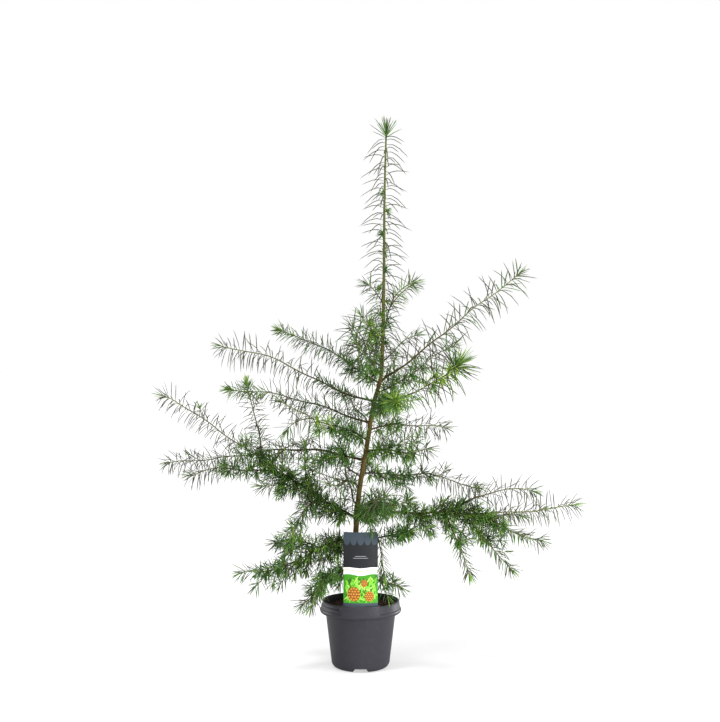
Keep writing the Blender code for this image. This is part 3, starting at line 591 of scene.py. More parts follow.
class Dress(Enum):
    """The ways in which a larch shoot is clothed."""

    OPEN = Spray(0.0023, (0.036, 0.050), (56.0, 86.0), (0.5, 1.4), (Tint.LONG, Tint.LONG, Tint.LONG, Tint.SHADE))
    PLUME = Spray(0.0026, (0.042, 0.068), (42.0, 90.0), (0.3, 1.3), (Tint.LONG, Tint.LONG, Tint.OLD),
                  NeedleKind.ARCHING)
    TRAILING = Spray(0.0023, (0.038, 0.058), (58.0, 92.0), (1.0, 2.8), (Tint.LONG, Tint.LONG, Tint.LONG, Tint.SHADE))
    LIGHT = Spray(0.0030, (0.026, 0.040), (40.0, 72.0), (0.3, 1.1), (Tint.YOUNG, Tint.LONG, Tint.OLD))
    CLOSE = Spray(0.0021, (0.026, 0.036), (40.0, 64.0), (0.3, 0.9), (Tint.LONG, Tint.LONG, Tint.OLD))
    SHAGGY = Spray(0.0012, (0.030, 0.044), (42.0, 84.0), (0.5, 1.4), (Tint.LONG, Tint.OLD, Tint.SHADE))
    DENSE = Spray(0.0008, (0.020, 0.034), (35.0, 78.0), (0.2, 0.9), (Tint.OLD, Tint.SHADE, Tint.LONG))
    NEW = Spray(0.0012, (0.022, 0.038), (34.0, 76.0), (0.2, 0.9), (Tint.YOUNG, Tint.OLD, Tint.YOUNG, Tint.LONG))
    SPARSE = Spray(0.0042, (0.030, 0.044), (52.0, 84.0), (0.5, 1.4), (Tint.LONG, Tint.OLD, Tint.LONG))
    DARK = Spray(0.0036, (0.030, 0.043), (45.0, 85.0), (0.4, 1.2), (Tint.SHADE, Tint.LONG, Tint.OLD),
                 NeedleKind.LONG, 0.0150, DARK_MIX, 0.045)
    GREEN = Spray(0.0036, (0.030, 0.043), (45.0, 85.0), (0.4, 1.2), (Tint.OLD, Tint.LONG, Tint.OLD),
                  NeedleKind.LONG, 0.0130, GREEN_MIX, 0.045)
    FRESH = Spray(0.0036, (0.028, 0.040), (40.0, 80.0), (0.3, 1.0), (Tint.YOUNG, Tint.OLD),
                  NeedleKind.LONG, 0.0115, FRESH_MIX, 0.030)
    THICK = Spray(0.0026, (0.026, 0.038), (45.0, 85.0), (0.4, 1.2), (Tint.OLD, Tint.SHADE, Tint.OLD),
                  NeedleKind.LONG, 0.0100, GREEN_MIX, 0.014, (0.030, 0.060), 0.12)
    WEEPING = Spray(0.0030, (0.030, 0.043), (45.0, 85.0), (0.6, 1.6), (Tint.OLD, Tint.LONG, Tint.SHADE),
                    NeedleKind.LONG, 0.0120, GREEN_MIX, 0.0085, (0.030, 0.060), 0.6)
    MATTED = Spray(0.0022, (0.026, 0.040), (45.0, 85.0), (0.5, 1.4), (Tint.OLD, Tint.LONG, Tint.SHADE),
                   NeedleKind.LONG, 0.0080, GREEN_MIX, 0.0070, (0.028, 0.058), 0.4)
    BRUSH = Spray(0.0015, (0.048, 0.074), (34.0, 92.0), (0.4, 1.7), (Tint.OLD, Tint.LONG, Tint.YOUNG, Tint.LONG),
                  NeedleKind.ARCHING, 0.0130, (Tint.YOUNG, Tint.BRIGHT))


DressPlan = tuple[tuple[float, Dress], ...]
OPEN_ALL: DressPlan = ((1.0, Dress.OPEN),)
SPARSE_ALL: DressPlan = ((1.0, Dress.SPARSE),)
GREEN_ALL: DressPlan = ((1.0, Dress.GREEN),)


@dataclass(frozen=True)
class Fork:
    """A fork of a limb: where it leaves, its bearing, its slopes in degrees, its reach and dress."""

    at: float
    compass: float
    slopes: tuple[float, float, float]
    reach: float
    dress: DressPlan = OPEN_ALL
    lead: tuple[float, float] = (0.0, 0.0)


@dataclass(frozen=True)
class Limb:
    """A limb: name, height of its foot, bearing, slopes in degrees, reach and bare share.

    Its dress says up to which fraction it is clothed in which way. Its lead is how far its
    newest tip grows on, and how many degrees it turns up there.
    """

    name: str
    height: float
    compass: float
    slopes: tuple[float, float, float]
    reach: float
    clothed: float
    dress: DressPlan
    forks: tuple[Fork, ...] = ()
    lead: tuple[float, float] = (0.0, 0.0)


def plan(*stretches: float | Dress) -> DressPlan:
    """Pair up fractions and dresses: plan(0.5, Dress.DARK, 1.0, Dress.OPEN)."""
    return tuple(zip(stretches[0::2], stretches[1::2]))


LIMBS = (
    Limb("01_right", 0.215, 318, (-20, 5, -20), 0.130, 0.0,
         plan(0.45, Dress.SPARSE, 0.85, Dress.GREEN, 1.0, Dress.CLOSE), (),
         (0.010, 0.0)),
    Limb("02_left", 0.235, 235, (-5, -10, -55), 0.180, 0.0,
         plan(0.65, Dress.THICK, 0.8, Dress.GREEN, 1.0, Dress.SPARSE), (
             Fork(0.60, 150, (-40, -40, -5), 0.055, SPARSE_ALL),
             Fork(0.55, 200, (-40, -50, -35), 0.090, plan(0.7, Dress.GREEN, 1.0, Dress.CLOSE)),
         ), (0.015, 20.0)),
    Limb("03_left", 0.285, 205, (5, -30, 10), 0.265, 0.22,
         plan(0.25, Dress.MATTED, 0.62, Dress.WEEPING, 0.85, Dress.THICK, 1.0, Dress.CLOSE), (
             Fork(0.35, 165, (20, 0, -5), 0.110, plan(0.2, Dress.GREEN, 0.85, Dress.THICK, 1.0, Dress.CLOSE)),
             Fork(0.06, 200, (-25, -35, -20), 0.080, plan(0.8, Dress.GREEN, 1.0, Dress.CLOSE)),
         ), (0.022, -25.0)),
    Limb("04_right", 0.295, 308, (5, 10, 20), 0.200, 0.0,
         plan(0.6, Dress.CLOSE, 1.0, Dress.THICK),
         (Fork(0.42, 300, (-60, -80, -70), 0.085, plan(1.0, Dress.CLOSE)),)),
    Limb("05_left", 0.335, 195, (30, 35, 35), 0.495, 0.14,
         plan(0.34, Dress.MATTED, 0.48, Dress.THICK, 0.62, Dress.GREEN, 1.0, Dress.OPEN), (
             Fork(0.18, 225, (5, -50, -60), 0.145, plan(0.12, Dress.SPARSE, 0.6, Dress.SHAGGY, 1.0, Dress.GREEN)),
             Fork(0.28, 100, (80, 55, 50), 0.110, plan(0.3, Dress.THICK, 0.6, Dress.GREEN, 1.0, Dress.CLOSE)),
             Fork(0.36, 215, (-5, -15, 15), 0.085, plan(0.4, Dress.THICK, 1.0, Dress.CLOSE)),
             Fork(0.44, 170, (0, 5, -22), 0.195, plan(0.62, Dress.GREEN, 1.0, Dress.OPEN),
                  (0.012, 30.0)),
             Fork(0.48, 60, (40, 10, 5), 0.185, SPARSE_ALL),
             Fork(0.53, 165, (82, 80, 66), 0.160,
                  plan(0.45, Dress.SHAGGY, 0.78, Dress.OPEN, 1.0, Dress.NEW), (0.012, 10.0)),
             Fork(0.05, 215, (-10, -10, -10), 0.035, GREEN_ALL),
         ), (0.030, -18.0)),
    Limb("06_right", 0.345, 345, (5, 0, 12), 0.495, 0.14,
         plan(0.24, Dress.GREEN, 0.52, Dress.MATTED, 0.62, Dress.THICK, 1.0, Dress.OPEN), (
             Fork(0.42, 300, (-50, -55, -50), 0.155, plan(0.55, Dress.GREEN, 1.0, Dress.CLOSE)),
             Fork(0.45, 20, (35, 10, -10), 0.215, plan(0.2, Dress.GREEN, 1.0, Dress.OPEN)),
             Fork(0.50, 330, (-40, -50, -35), 0.165, plan(0.5, Dress.THICK, 1.0, Dress.CLOSE)),
             Fork(0.55, 320, (-20, -15, -10), 0.180, plan(0.5, Dress.GREEN, 1.0, Dress.CLOSE)),
             Fork(0.60, 35, (-25, 10, -20), 0.115, plan(1.0, Dress.CLOSE)),
         )),
    Limb("07_front", 0.355, 284, (0, 20, 15), 0.260, 0.20, plan(0.6, Dress.THICK, 1.0, Dress.OPEN),
         (Fork(0.45, 330, (20, 10, 20), 0.100, GREEN_ALL),)),
    Limb("08_back", 0.365, 98, (10, 20, 25), 0.330, 0.20, SPARSE_ALL,
         (Fork(0.50, 140, (10, 5, 15), 0.120, SPARSE_ALL),)),
    Limb("09_left", 0.405, 248, (30, -5, 15), 0.190, 0.0, SPARSE_ALL),
    Limb("10_left", 0.430, 124, (25, 10, -15), 0.210, 0.0, SPARSE_ALL),
    Limb("11_right", 0.440, 15, (-5, 0, -25), 0.250, 0.22,
         plan(0.35, Dress.THICK, 0.6, Dress.DARK, 1.0, Dress.OPEN), (), (0.040, 12.0)),
    Limb("12_back", 0.455, 72, (15, 15, 10), 0.290, 0.20, plan(0.2, Dress.GREEN, 1.0, Dress.SPARSE),
         (Fork(0.50, 30, (5, 0, 5), 0.100, SPARSE_ALL),)),
    Limb("13_left", 0.470, 155, (15, -10, -5), 0.535, 0.20, plan(0.18, Dress.THICK, 1.0, Dress.OPEN), (),
         (0.012, 0.0)),
    Limb("14_right", 0.490, 312, (10, -5, 15), 0.185, 0.0, plan(0.8, Dress.GREEN, 1.0, Dress.OPEN), (),
         (0.015, -20.0)),
    Limb("15_left", 0.515, 215, (25, 15, 35), 0.255, 0.22,
         plan(0.4, Dress.THICK, 0.6, Dress.FRESH, 1.0, Dress.OPEN),
         (Fork(0.62, 190, (0, -25, -50), 0.070, SPARSE_ALL),)),
    Limb("16_right", 0.540, 40, (10, -5, -5), 0.245, 0.22, plan(0.40, Dress.GREEN, 1.0, Dress.OPEN)),
    Limb("17_back", 0.545, 106, (20, 15, 15), 0.270, 0.20, SPARSE_ALL),
    Limb("18_left", 0.555, 165, (20, 15, 0), 0.345, 0.20,
         plan(0.5, Dress.SHAGGY, 0.7, Dress.OPEN, 1.0, Dress.NEW), (), (0.015, 12.0)),
    Limb("19_front", 0.585, 281, (5, 10, 0), 0.240, 0.0, plan(0.6, Dress.GREEN, 1.0, Dress.FRESH)),
    Limb("20_right", 0.605, 325, (5, 20, 40), 0.240, 0.20,
         plan(0.3, Dress.FRESH, 0.6, Dress.PLUME, 1.0, Dress.BRUSH)),
    Limb("21_left", 0.605, 190, (15, 30, 5), 0.365, 0.20,
         plan(0.1, Dress.OPEN, 0.38, Dress.DENSE, 1.0, Dress.TRAILING), (), (0.008, 10.0)),
    Limb("22_right", 0.625, 35, (10, 35, 20), 0.245, 0.20,
         plan(0.55, Dress.FRESH, 1.0, Dress.PLUME), (), (0.012, 20.0)),
    Limb("23_back", 0.635, 78, (20, 15, 25), 0.240, 0.0, SPARSE_ALL),
    Limb("24_left", 0.645, 160, (35, 30, 15), 0.250, 0.20,
         plan(0.3, Dress.THICK, 0.8, Dress.SHAGGY, 1.0, Dress.NEW), (), (0.030, 5.0)),
    Limb("25_right", 0.650, 352, (35, 40, 35), 0.390, 0.20, plan(0.18, Dress.SPARSE, 1.0, Dress.PLUME), (),
         (0.012, 5.0)),
    Limb("26_front", 0.665, 250, (20, 25, 20), 0.180, 0.0,
         plan(0.4, Dress.GREEN, 1.0, Dress.PLUME)),
    Limb("27_back", 0.695, 122, (30, 30, 35), 0.160, 0.0, plan(0.4, Dress.NEW, 1.0, Dress.PLUME)),
    Limb("28_right", 0.695, 35, (35, 40, 15), 0.110, 0.0, plan(1.0, Dress.LIGHT), (), (0.012, 10.0)),
    Limb("29_left", 0.725, 235, (55, 30, 45), 0.115, 0.0,
         plan(0.22, Dress.FRESH, 0.72, Dress.BRUSH, 1.0, Dress.LIGHT)),
    Limb("30_right", 0.760, 25, (75, 65, 15), 0.155, 0.0, plan(0.25, Dress.FRESH, 1.0, Dress.LIGHT),
         (Fork(0.40, 325, (55, 45, 20), 0.085, plan(1.0, Dress.LIGHT)),)),
    Limb("31_left", 0.830, 150, (40, 55, 35), 0.065, 0.0, plan(1.0, Dress.LIGHT)),
)


@dataclass
class Way:
    """A smooth line through evenly spaced points, read by the fraction of its length."""

    points: list[Vector]
    length: float = 0.0

    def __post_init__(self) -> None:
        """Measure the length."""
        self.length = sum((b - a).length for a, b in zip(self.points, self.points[1:]))

    def point(self, fraction: float) -> Vector:
        """The point at a fraction of the length."""
        place = min(max(fraction, 0.0), 1.0) * (len(self.points) - 1)
        index = min(int(place), len(self.points) - 2)
        return self.points[index].lerp(self.points[index + 1], place - index)

    def heading(self, fraction: float) -> Vector:
        """The direction of the line at a fraction of its length."""
        reach = 0.5 / (len(self.points) - 1)
        return (self.point(min(fraction + reach, 1.0)) - self.point(max(fraction - reach, 0.0))).normalized()


def side_vectors(heading: Vector, before: Vector | None = None) -> tuple[Vector, Vector]:
    """Find two directions across a heading.

    Args:
        heading: the direction to stand square to.
        before: a direction that the first one stays near, or None.

    Returns:
        The two directions, square to each other.
    """
    if before is None:
        before = UP if abs(heading.z) < 0.9 else Vector((1.0, 0.0, 0.0))
    across = (before - heading * before.dot(heading)).normalized()
    return across, heading.cross(across)


def turned(heading: Vector, splay: float, roll: float) -> Vector:
    """Splay a heading.

    Args:
        heading: the direction to start from.
        splay: the angle away from it.
        roll: the angle round it.

    Returns:
        The new direction.
    """
    across, over = side_vectors(heading)
    outward = across * math.cos(roll) + over * math.sin(roll)
    return (heading * math.cos(splay) + outward * math.sin(splay)).normalized()


def three_point(values: tuple[float, float, float], fraction: float) -> float:
    """Run straight from the first value through the middle one to the last."""
    first, middle, last = values
    if fraction < 0.5:
        return first + (middle - first) * fraction * 2.0
    return middle + (last - middle) * (fraction * 2.0 - 1.0)


def walk(foot: Vector, compass: float, slopes: tuple[float, float, float], reach: float,
         dice: random.Random) -> Way:
    """Walk a limb's way from its foot, winding a little as it goes.

    Args:
        foot: where it starts.
        compass: its bearing in degrees, 0 at +X and 90 at the back.
        slopes: its slope at foot, middle and tip, in degrees.
        reach: its length.
        dice: the limb's own seeded numbers.

    Returns:
        The way.
    """
    rise_phase = dice.uniform(0.0, math.tau)
    turn_phase = dice.uniform(0.0, math.tau)
    points = [foot.copy()]
    for i in range(WALK_STEPS):
        fraction = (i + 0.5) / WALK_STEPS
        wave = math.tau * fraction * reach / WOBBLE_LENGTH
        slope = math.radians(three_point(slopes, fraction)) + WOBBLE * math.sin(wave + rise_phase)
        bearing = math.radians(compass) + WOBBLE * math.sin(wave + turn_phase)
        level = Vector((math.cos(bearing), math.sin(bearing), 0.0))
        points.append(points[-1] + (level * math.cos(slope) + UP * math.sin(slope)) * (reach / WALK_STEPS))
    return Way(points)


def trunk_axis(height: float) -> Vector:
    """Read the trunk's axis off a smooth curve through its stations.

    Args:
        height: above the ground.

    Returns:
        The axis's place there.
    """
    stations = TRUNK_STATIONS
    height = min(max(height, stations[0][0]), stations[-1][0])
    last = len(stations) - 2
    index = min(max(i for i in range(last + 1) if stations[i][0] <= height), last)
    z0, z1 = stations[index][0], stations[index + 1][0]
    t = (height - z0) / (z1 - z0)
    values = []
    for axis in (1, 2):
        slopes = []
        for k in (index, index + 1):
            low, high = stations[max(k - 1, 0)], stations[min(k + 1, last + 1)]
            slopes.append((high[axis] - low[axis]) / (high[0] - low[0]) * (z1 - z0))
        a, b = stations[index][axis], stations[index + 1][axis]
        ease = t * t * (3.0 - 2.0 * t)
        values.append(a + (b - a) * ease + slopes[0] * t * (1.0 - t) ** 2 + slopes[1] * t * t * (t - 1.0))
    return Vector((values[0], values[1], height))


def trunk_radius(height: float) -> float:
    """The trunk's radius at a height, with the root flare at its foot."""
    foot, tip = TRUNK_STATIONS[0][0], TRUNK_STATIONS[-1][0]
    share = min(max((height - foot) / (tip - foot), 0.0), 1.0)
    plain = TRUNK_FOOT_RADIUS + (TRUNK_TIP_RADIUS - TRUNK_FOOT_RADIUS) * share ** TRUNK_TAPER
    return plain + FLARE_RADIUS * math.exp(-(height - foot) / FLARE_HEIGHT)


def limb_radius(reach: float, fraction: float) -> float:
    """A limb's radius at a fraction of its reach."""
    foot = SLIM_RADIUS + THICKENING * reach
    return foot + (TIP_RADIUS - foot) * fraction


# Foliage


@dataclass(frozen=True)
class NeedleShape:
    """A flat needle with a keel below: its width, depth and where its rings sit."""

    width: float
    depth: float
    rings: tuple[tuple[int, float], ...]


NEEDLE_STEPS = 12
SHAPES = {
    NeedleKind.LONG: NeedleShape(2.2 * MM, 1.1 * MM, ((0, 0.5), (4, 1.0), (9, 0.8))),
    NeedleKind.ARCHING: NeedleShape(2.6 * MM, 1.4 * MM, ((0, 0.5), (3, 1.0), (6, 1.0), (10, 0.7))),
    NeedleKind.ROSETTE: NeedleShape(2.4 * MM, 1.1 * MM, ((0, 0.5), (4, 1.0), (9, 0.8))),
}


@dataclass
class NeedleBundle:
    """Needles of one kind and tint, kept as rows of numbers until they are meshed."""

    kind: NeedleKind
    tint: Tint
    rows: list[tuple[float, ...]] = field(default_factory=list)

    def add(self, root: Vector, heading: Vector, length: float, droop: float, roll: float) -> None:
        """Add a needle.

        Args:
            root: where it starts.
            heading: its direction there.
            length: its length.
            droop: how far it arches over, 0 for a straight one.
            roll: how far its flat side turns from level.
        """
        self.rows.append((*root, *heading, length, droop, roll))


@dataclass
class Foliage:
    """All the needles, sorted by kind and tint, and the mesh that they make."""

    piece_limit: int = 190_000
    edge_margin: float = 0.006
    bundles: dict[tuple[NeedleKind, Tint], NeedleBundle] = field(default_factory=dict)

    def bundle(self, kind: NeedleKind, tint: Tint) -> NeedleBundle:
        """The bundle of a kind and tint."""
        return self.bundles.setdefault((kind, tint), NeedleBundle(kind, tint))

    def lines(self, rows: np.ndarray) -> tuple[np.ndarray, np.ndarray]:
        """Walk every needle from root to tip, arching over toward the ground.

        Args:
            rows: the needles' numbers.

        Returns:
            The places and the directions, by step, needle and axis.
        """
        root, heading = rows[:, 0:3], rows[:, 3:6]
        length, droop = rows[:, 6:7], rows[:, 7:8]
        down = np.array([0.0, 0.0, -1.0])
        fall = down - heading * (heading @ down)[:, None]
        places, headings = [root], [heading]
        for i in range(NEEDLE_STEPS):
            aim = heading + fall * droop * ((i + 0.5) / NEEDLE_STEPS)
            aim /= np.linalg.norm(aim, axis=1, keepdims=True)
            places.append(places[-1] + aim * length / NEEDLE_STEPS)
            headings.append(aim)
        return np.array(places), np.array(headings)

    def keep_clear(self, places: np.ndarray) -> np.ndarray:
        """Find the needles that stay out of the pot and label and inside the plant's reach.

        Args:
            places: by step, needle and axis.

        Returns:
            True for each needle to keep.
        """
        x, y, z = places[..., 0], places[..., 1], places[..., 2]
        in_pot = (z < Pot.pocket_top + 0.003) & (np.hypot(x, y) < Pot.bead_radius + 0.003)
        half_width = Label.radius * math.sin(Label.half_angle) + 0.003
        near = -Label.radius - 0.004
        far = -Label.radius * math.cos(Label.half_angle) + 0.003
        in_label = (z < Label.top + 0.003) & (np.abs(x) < half_width) & (y > near) & (y < far)
        low, high = (np.array(corner) for corner in CAD_BOUNDS)
        outside = ((places < low - self.edge_margin) | (places > high + self.edge_margin)).any(axis=2)
        return ~(in_pot | in_label | outside).any(axis=0)

    def arrays(self, bundle: NeedleBundle) -> tuple[np.ndarray, np.ndarray]:
        """Mesh a bundle.

        Args:
            bundle: the needles.

        Returns:
            Corners by needle, and one needle's triangles.
        """
        shape = SHAPES[bundle.kind]
        rows = np.array(bundle.rows)
        places, headings = self.lines(rows)
        keep = self.keep_clear(places)
        rows, places, headings = rows[keep], places[:, keep], headings[:, keep]
        side = np.cross(rows[:, 3:6], np.array([0.05, 0.02, 1.0]))
        side /= np.linalg.norm(side, axis=1, keepdims=True)
        lift = np.cross(side, rows[:, 3:6])
        roll = rows[:, 8:9]
        side = side * np.cos(roll) + lift * np.sin(roll)
        corners = []
        for step, share in shape.rings:
            flat = np.cross(side, headings[step])
            flat /= np.linalg.norm(flat, axis=1, keepdims=True)
            half = side * (shape.width * share / 2.0)
            corners += [places[step] - half, places[step] + half, places[step] - flat * shape.depth * share]
        corners.append(places[NEEDLE_STEPS])
        faces = [(0, 1, 2)]
        for i in range(len(shape.rings) - 1):
            for k in range(3):
                near, far = 3 * i + k, 3 * i + (k + 1) % 3
                faces += [(near, near + 3, far + 3), (near, far + 3, far)]
        top, tip = 3 * (len(shape.rings) - 1), 3 * len(shape.rings)
        faces += [(top + k, tip, top + (k + 1) % 3) for k in range(3)]
        return np.stack(corners, axis=1), np.array(faces)

    def build(self, materials: dict[str, bpy.types.Material], nodes: Sequence[str]) -> int:
        """Make the needles' pieces.

        Args:
            materials: the materials made so far.
            nodes: the foliage solids that they stand for.

        Returns:
            The number of triangles.
        """
        total = 0
        for (kind, tint), bundle in sorted(self.bundles.items(), key=lambda item: (item[0][0].value, item[0][1].name)):
            corners, faces = self.arrays(bundle)
            most = self.piece_limit // len(faces)
            slot = "young_foliage" if tint in (Tint.YOUNG, Tint.BRIGHT) else "old_foliage"
            skin = NeedleSkin(f"needle_{tint.name.lower()}", slot, tint.value, 0.55, 1.42)
            for number, start in enumerate(range(0, len(corners), most)):
                batch = corners[start:start + most]
                offsets = (np.arange(len(batch)) * batch.shape[1])[:, None, None]
                name = f"needles_{kind.value}_{tint.name.lower()}_{number + 1}"
                mesh = mesh_of(name, batch.reshape(-1, 3), (faces[None] + offsets).reshape(-1, 3), smooth=False)
                finish_piece(name, mesh, skin, materials, nodes)
                total += len(batch) * len(faces)
        return total


@dataclass
class Shoot:
    """A stretch of growing wood: its way, its radius and bark age at both ends, and its dress."""

    way: Way
    foot_radius: float
    tip_radius: float
    foot_age: float
    dress: DressPlan
    start: float

    def radius(self, fraction: float) -> float:
        """Its radius at a fraction of its length; it slims soonest near the foot."""
        return self.tip_radius + (self.foot_radius - self.tip_radius) * (1.0 - fraction) ** 1.8

    def age(self, fraction: float) -> float:
        """Its place in the bark's colours at a fraction of its length, 1 for this year's wood."""
        return self.foot_age + (1.0 - self.foot_age) * fraction


@dataclass
class Crown:
    """Boughs, twigs, spurs and needles, grown from the limbs' ways."""

    tip_radius: float = 0.0010
    slimming: float = 0.74
    bare_foot: float = 0.04
    spur_length: float = 0.0038
    spur_radius: float = 0.0013
    rosette_needles: tuple[int, int] = (15, 21)
    rosette_length: tuple[float, float] = (0.023, 0.036)
    rosette_splay: tuple[float, float] = (12.0, 86.0)
    twig_pitch: float = 0.0027
    open_twig_pitch: float = 0.0040
    twig_needle_length: tuple[float, float] = (0.023, 0.035)
    twig_tuft: int = 6
    tuft_needles: int = 18
    open_tuft_needles: int = 11
    tuft_length: tuple[float, float] = (0.024, 0.036)
    tuft_splay: tuple[float, float] = (5.0, 48.0)
    ring_pitch: float = 0.0030
    foliage: Foliage = field(default_factory=Foliage)
    twigs: Pile = field(default_factory=Pile)
    spurs: Pile = field(default_factory=Pile)

    def extended(self, way: Way, lead: tuple[float, float]) -> Way:
        """Grow a way on past its end.

        Args:
            way: the way.
            lead: how far, and how many degrees it turns up.

        Returns:
            The longer way, evenly stepped.
        """
        reach, rise = lead
        if reach <= 0.0:
            return way
        step = way.length / (len(way.points) - 1)
        count = max(1, round(reach / step))
        points = list(way.points)
        heading = way.heading(1.0)
        for i in range(count):
            turn = math.radians(rise) * (i + 1) / count
            level = Vector((heading.x, heading.y, 0.0)).normalized()
            slope = math.asin(heading.z) + turn
            points.append(points[-1] + (level * math.cos(slope) + UP * math.sin(slope)) * step)
        return Way(points)

    def shoots(self, limb: Limb, index: int) -> list[Shoot]:
        """List a limb's own shoot and its forks.

        Args:
            limb: the limb.
            index: its number in the table, from 0.

        Returns:
            The main shoot and then its forks.
        """
        dice = random.Random(SEED + index)
        young = min(max((limb.height - 0.35) / 0.45, 0.0), 1.0)
        main = walk(trunk_axis(limb.height), limb.compass, limb.slopes, limb.reach, dice)
        foot = self.slimming * limb_radius(limb.reach, 0.0)
        shoots = [Shoot(self.extended(main, limb.lead), foot, self.tip_radius,
                        0.35 * young, limb.dress, self.bare_foot)]
        for fork in limb.forks:
            way = walk(main.point(fork.at), fork.compass, fork.slopes, fork.reach, dice)
            shoots.append(Shoot(self.extended(way, fork.lead), limb_radius(limb.reach, fork.at) * FORK_SHARE,
                                self.tip_radius, min(0.35 * young + 0.45 * fork.at, 0.6), fork.dress, 0.04))
        return shoots

    def bark_tube(self, shoot: Shoot, sides: int) -> tuple[np.ndarray, np.ndarray, np.ndarray]:
        """Make a shoot's bark: a tube with fine ridges, bud knots and a collar at its foot.

        Args:
            shoot: the shoot.
            sides: corners in a ring.

        Returns:
            Corners, triangles and ages.
        """
        length = shoot.way.length
        count = max(4, math.ceil(length / self.ring_pitch))
        fractions = [i / count for i in range(count + 1)]
        points = [shoot.way.point(f) for f in fractions]
        headings = [shoot.way.heading(f) for f in fractions]

        def radius_at(i: int, angle: float) -> float:
            """Radius with its relief at a ring and an angle."""
            plain = shoot.radius(fractions[i])
            collar = 0.35 * shoot.foot_radius * math.exp(-fractions[i] * length / 0.006)
            spot = points[i] * 260.0 + Vector((math.cos(angle), math.sin(angle), 0.0)) * 0.9
            ridge = math.sin(5.0 * angle + 900.0 * fractions[i] * length)
            return plain + collar + plain * (0.12 * noise.noise(spot) + 0.03 * ridge)

        corners, faces = tube(points, headings, radius_at, sides)
        ages = [shoot.age(f) for f in fractions for _ in range(sides)]
        return corners, faces, np.array(ages + [shoot.age(0.0), shoot.age(1.0)])

    def spur(self, root: Vector, heading: Vector, age: float) -> Vector:
        """Add a short spur, ringed by its bud scales.

        Args:
            root: on the bark.
            heading: its direction.
            age: its place in the bark's colours.

        Returns:
            The spur's tip, where its needles sit.
        """
        shares = ((-0.3, 0.9), (0.3, 1.0), (0.65, 1.25), (1.0, 0.6))
        points = [root + heading * (self.spur_length * share) for share, _ in shares]
        corners, faces = tube(points, [heading] * len(points), lambda i, _: self.spur_radius * shares[i][1], 5)
        self.spurs.add(corners, faces, np.full(len(corners), age))
        return points[-1]

    def rosette(self, root: Vector, heading: Vector, tints: Sequence[Tint], dice: random.Random,
                size: float = 1.0) -> None:
        """Add a rosette of needles that spreads from a spur's tip.

        Args:
            root: the spur's tip.
            heading: the spur's direction.
            tints: the tints that the rosette may have; one leads and its neighbours mix in.
            dice: seeded numbers.
            size: scale of the needles' length.
        """
        count = dice.randint(*self.rosette_needles)
        leading = dice.choice(tints)
        low, high = (math.radians(a) for a in self.rosette_splay)
        for k in range(count):
            share = (k + 0.5) / count
            splay = low + (high - low) * share ** 0.8
            direction = turned(heading, splay * dice.uniform(0.85, 1.15), GOLDEN_ANGLE * k + dice.uniform(-0.3, 0.3))
            tint = leading if dice.random() < 0.75 else dice.choice(tints)
            self.foliage.bundle(NeedleKind.ROSETTE, tint).add(
                root, direction, size * dice.uniform(*self.rosette_length) * (0.7 + 0.3 * share),
                dice.uniform(0.1, 0.6), dice.uniform(-0.6, 0.6))

    def tuft(self, way: Way, tints: Sequence[Tint], dice: random.Random, needles: int, size: float = 1.0,
             spread: float = 1.0, kind: NeedleKind = NeedleKind.ROSETTE) -> None:
        """Add the brush of young needles at a shoot's tip.

        Args:
            way: the shoot's way.
            tints: tints, the first at the middle and the rest outward.
            dice: seeded numbers.
            needles: how many.
            size: scale of the needles' length.
            spread: scale of their splay.
            kind: their kind.
        """
        heading = way.heading(1.0)
        for k in range(needles):
            share = k / needles
            root = way.point(1.0 - 0.016 * share / way.length)
            first, last = self.tuft_splay
            splay = math.radians(first + (last - first) * share) * dice.uniform(0.8, 1.2) * spread
            direction = turned(heading, splay, GOLDEN_ANGLE * k)
            tint = tints[0] if share < 0.35 else dice.choice(tints[1:])
            low, high = self.tuft_length
            length = size * (low + (high - low) * share) * dice.uniform(0.85, 1.15)
            self.foliage.bundle(kind, tint).add(root, direction, length, dice.uniform(0.1, 0.6),
                                                dice.uniform(-0.6, 0.6))

    def clothe(self, shoot: Shoot, dice: random.Random) -> None:
        """Clothe a shoot by its plan.

        Args:
            shoot: the shoot.
            dice: seeded numbers.
        """
        first = shoot.start
        for until, dress in shoot.dress:
            if until > first:
                self.set_rosettes(shoot, dress.value, first, until, dice)
                self.set_singles(shoot, dress.value, first, until, dice)
                first = until

    def set_rosettes(self, shoot: Shoot, spray: Spray, first: float, last: float, dice: random.Random) -> None:
        """Set a stretch's rosettes, each on its spur.

        Args:
            shoot: the shoot.
            spray: how it is clothed.
            first: the fraction where the stretch starts.
            last: the fraction where it ends.
            dice: seeded numbers.
        """
        if spray.rosette_pitch <= 0.0:
            return
        roll = dice.uniform(0.0, math.tau)
        count = int(shoot.way.length * (last - first) / spray.rosette_pitch)
        for k in range(count):
            fraction = first + (last - first) * (k + dice.uniform(0.2, 0.8)) / count
            roll += GOLDEN_ANGLE + dice.uniform(-0.3, 0.3)
            outward = turned(shoot.way.heading(fraction), math.radians(dice.uniform(40.0, 75.0)), roll)
            outward = (outward - UP * (0.5 * spray.hang)).normalized()
            root = shoot.way.point(fraction) + outward * shoot.radius(fraction) * 0.9
            tip = self.spur(root, outward, max(shoot.age(fraction) - 0.1, 0.0))
            self.rosette(tip, outward, spray.rosette_tints, dice)

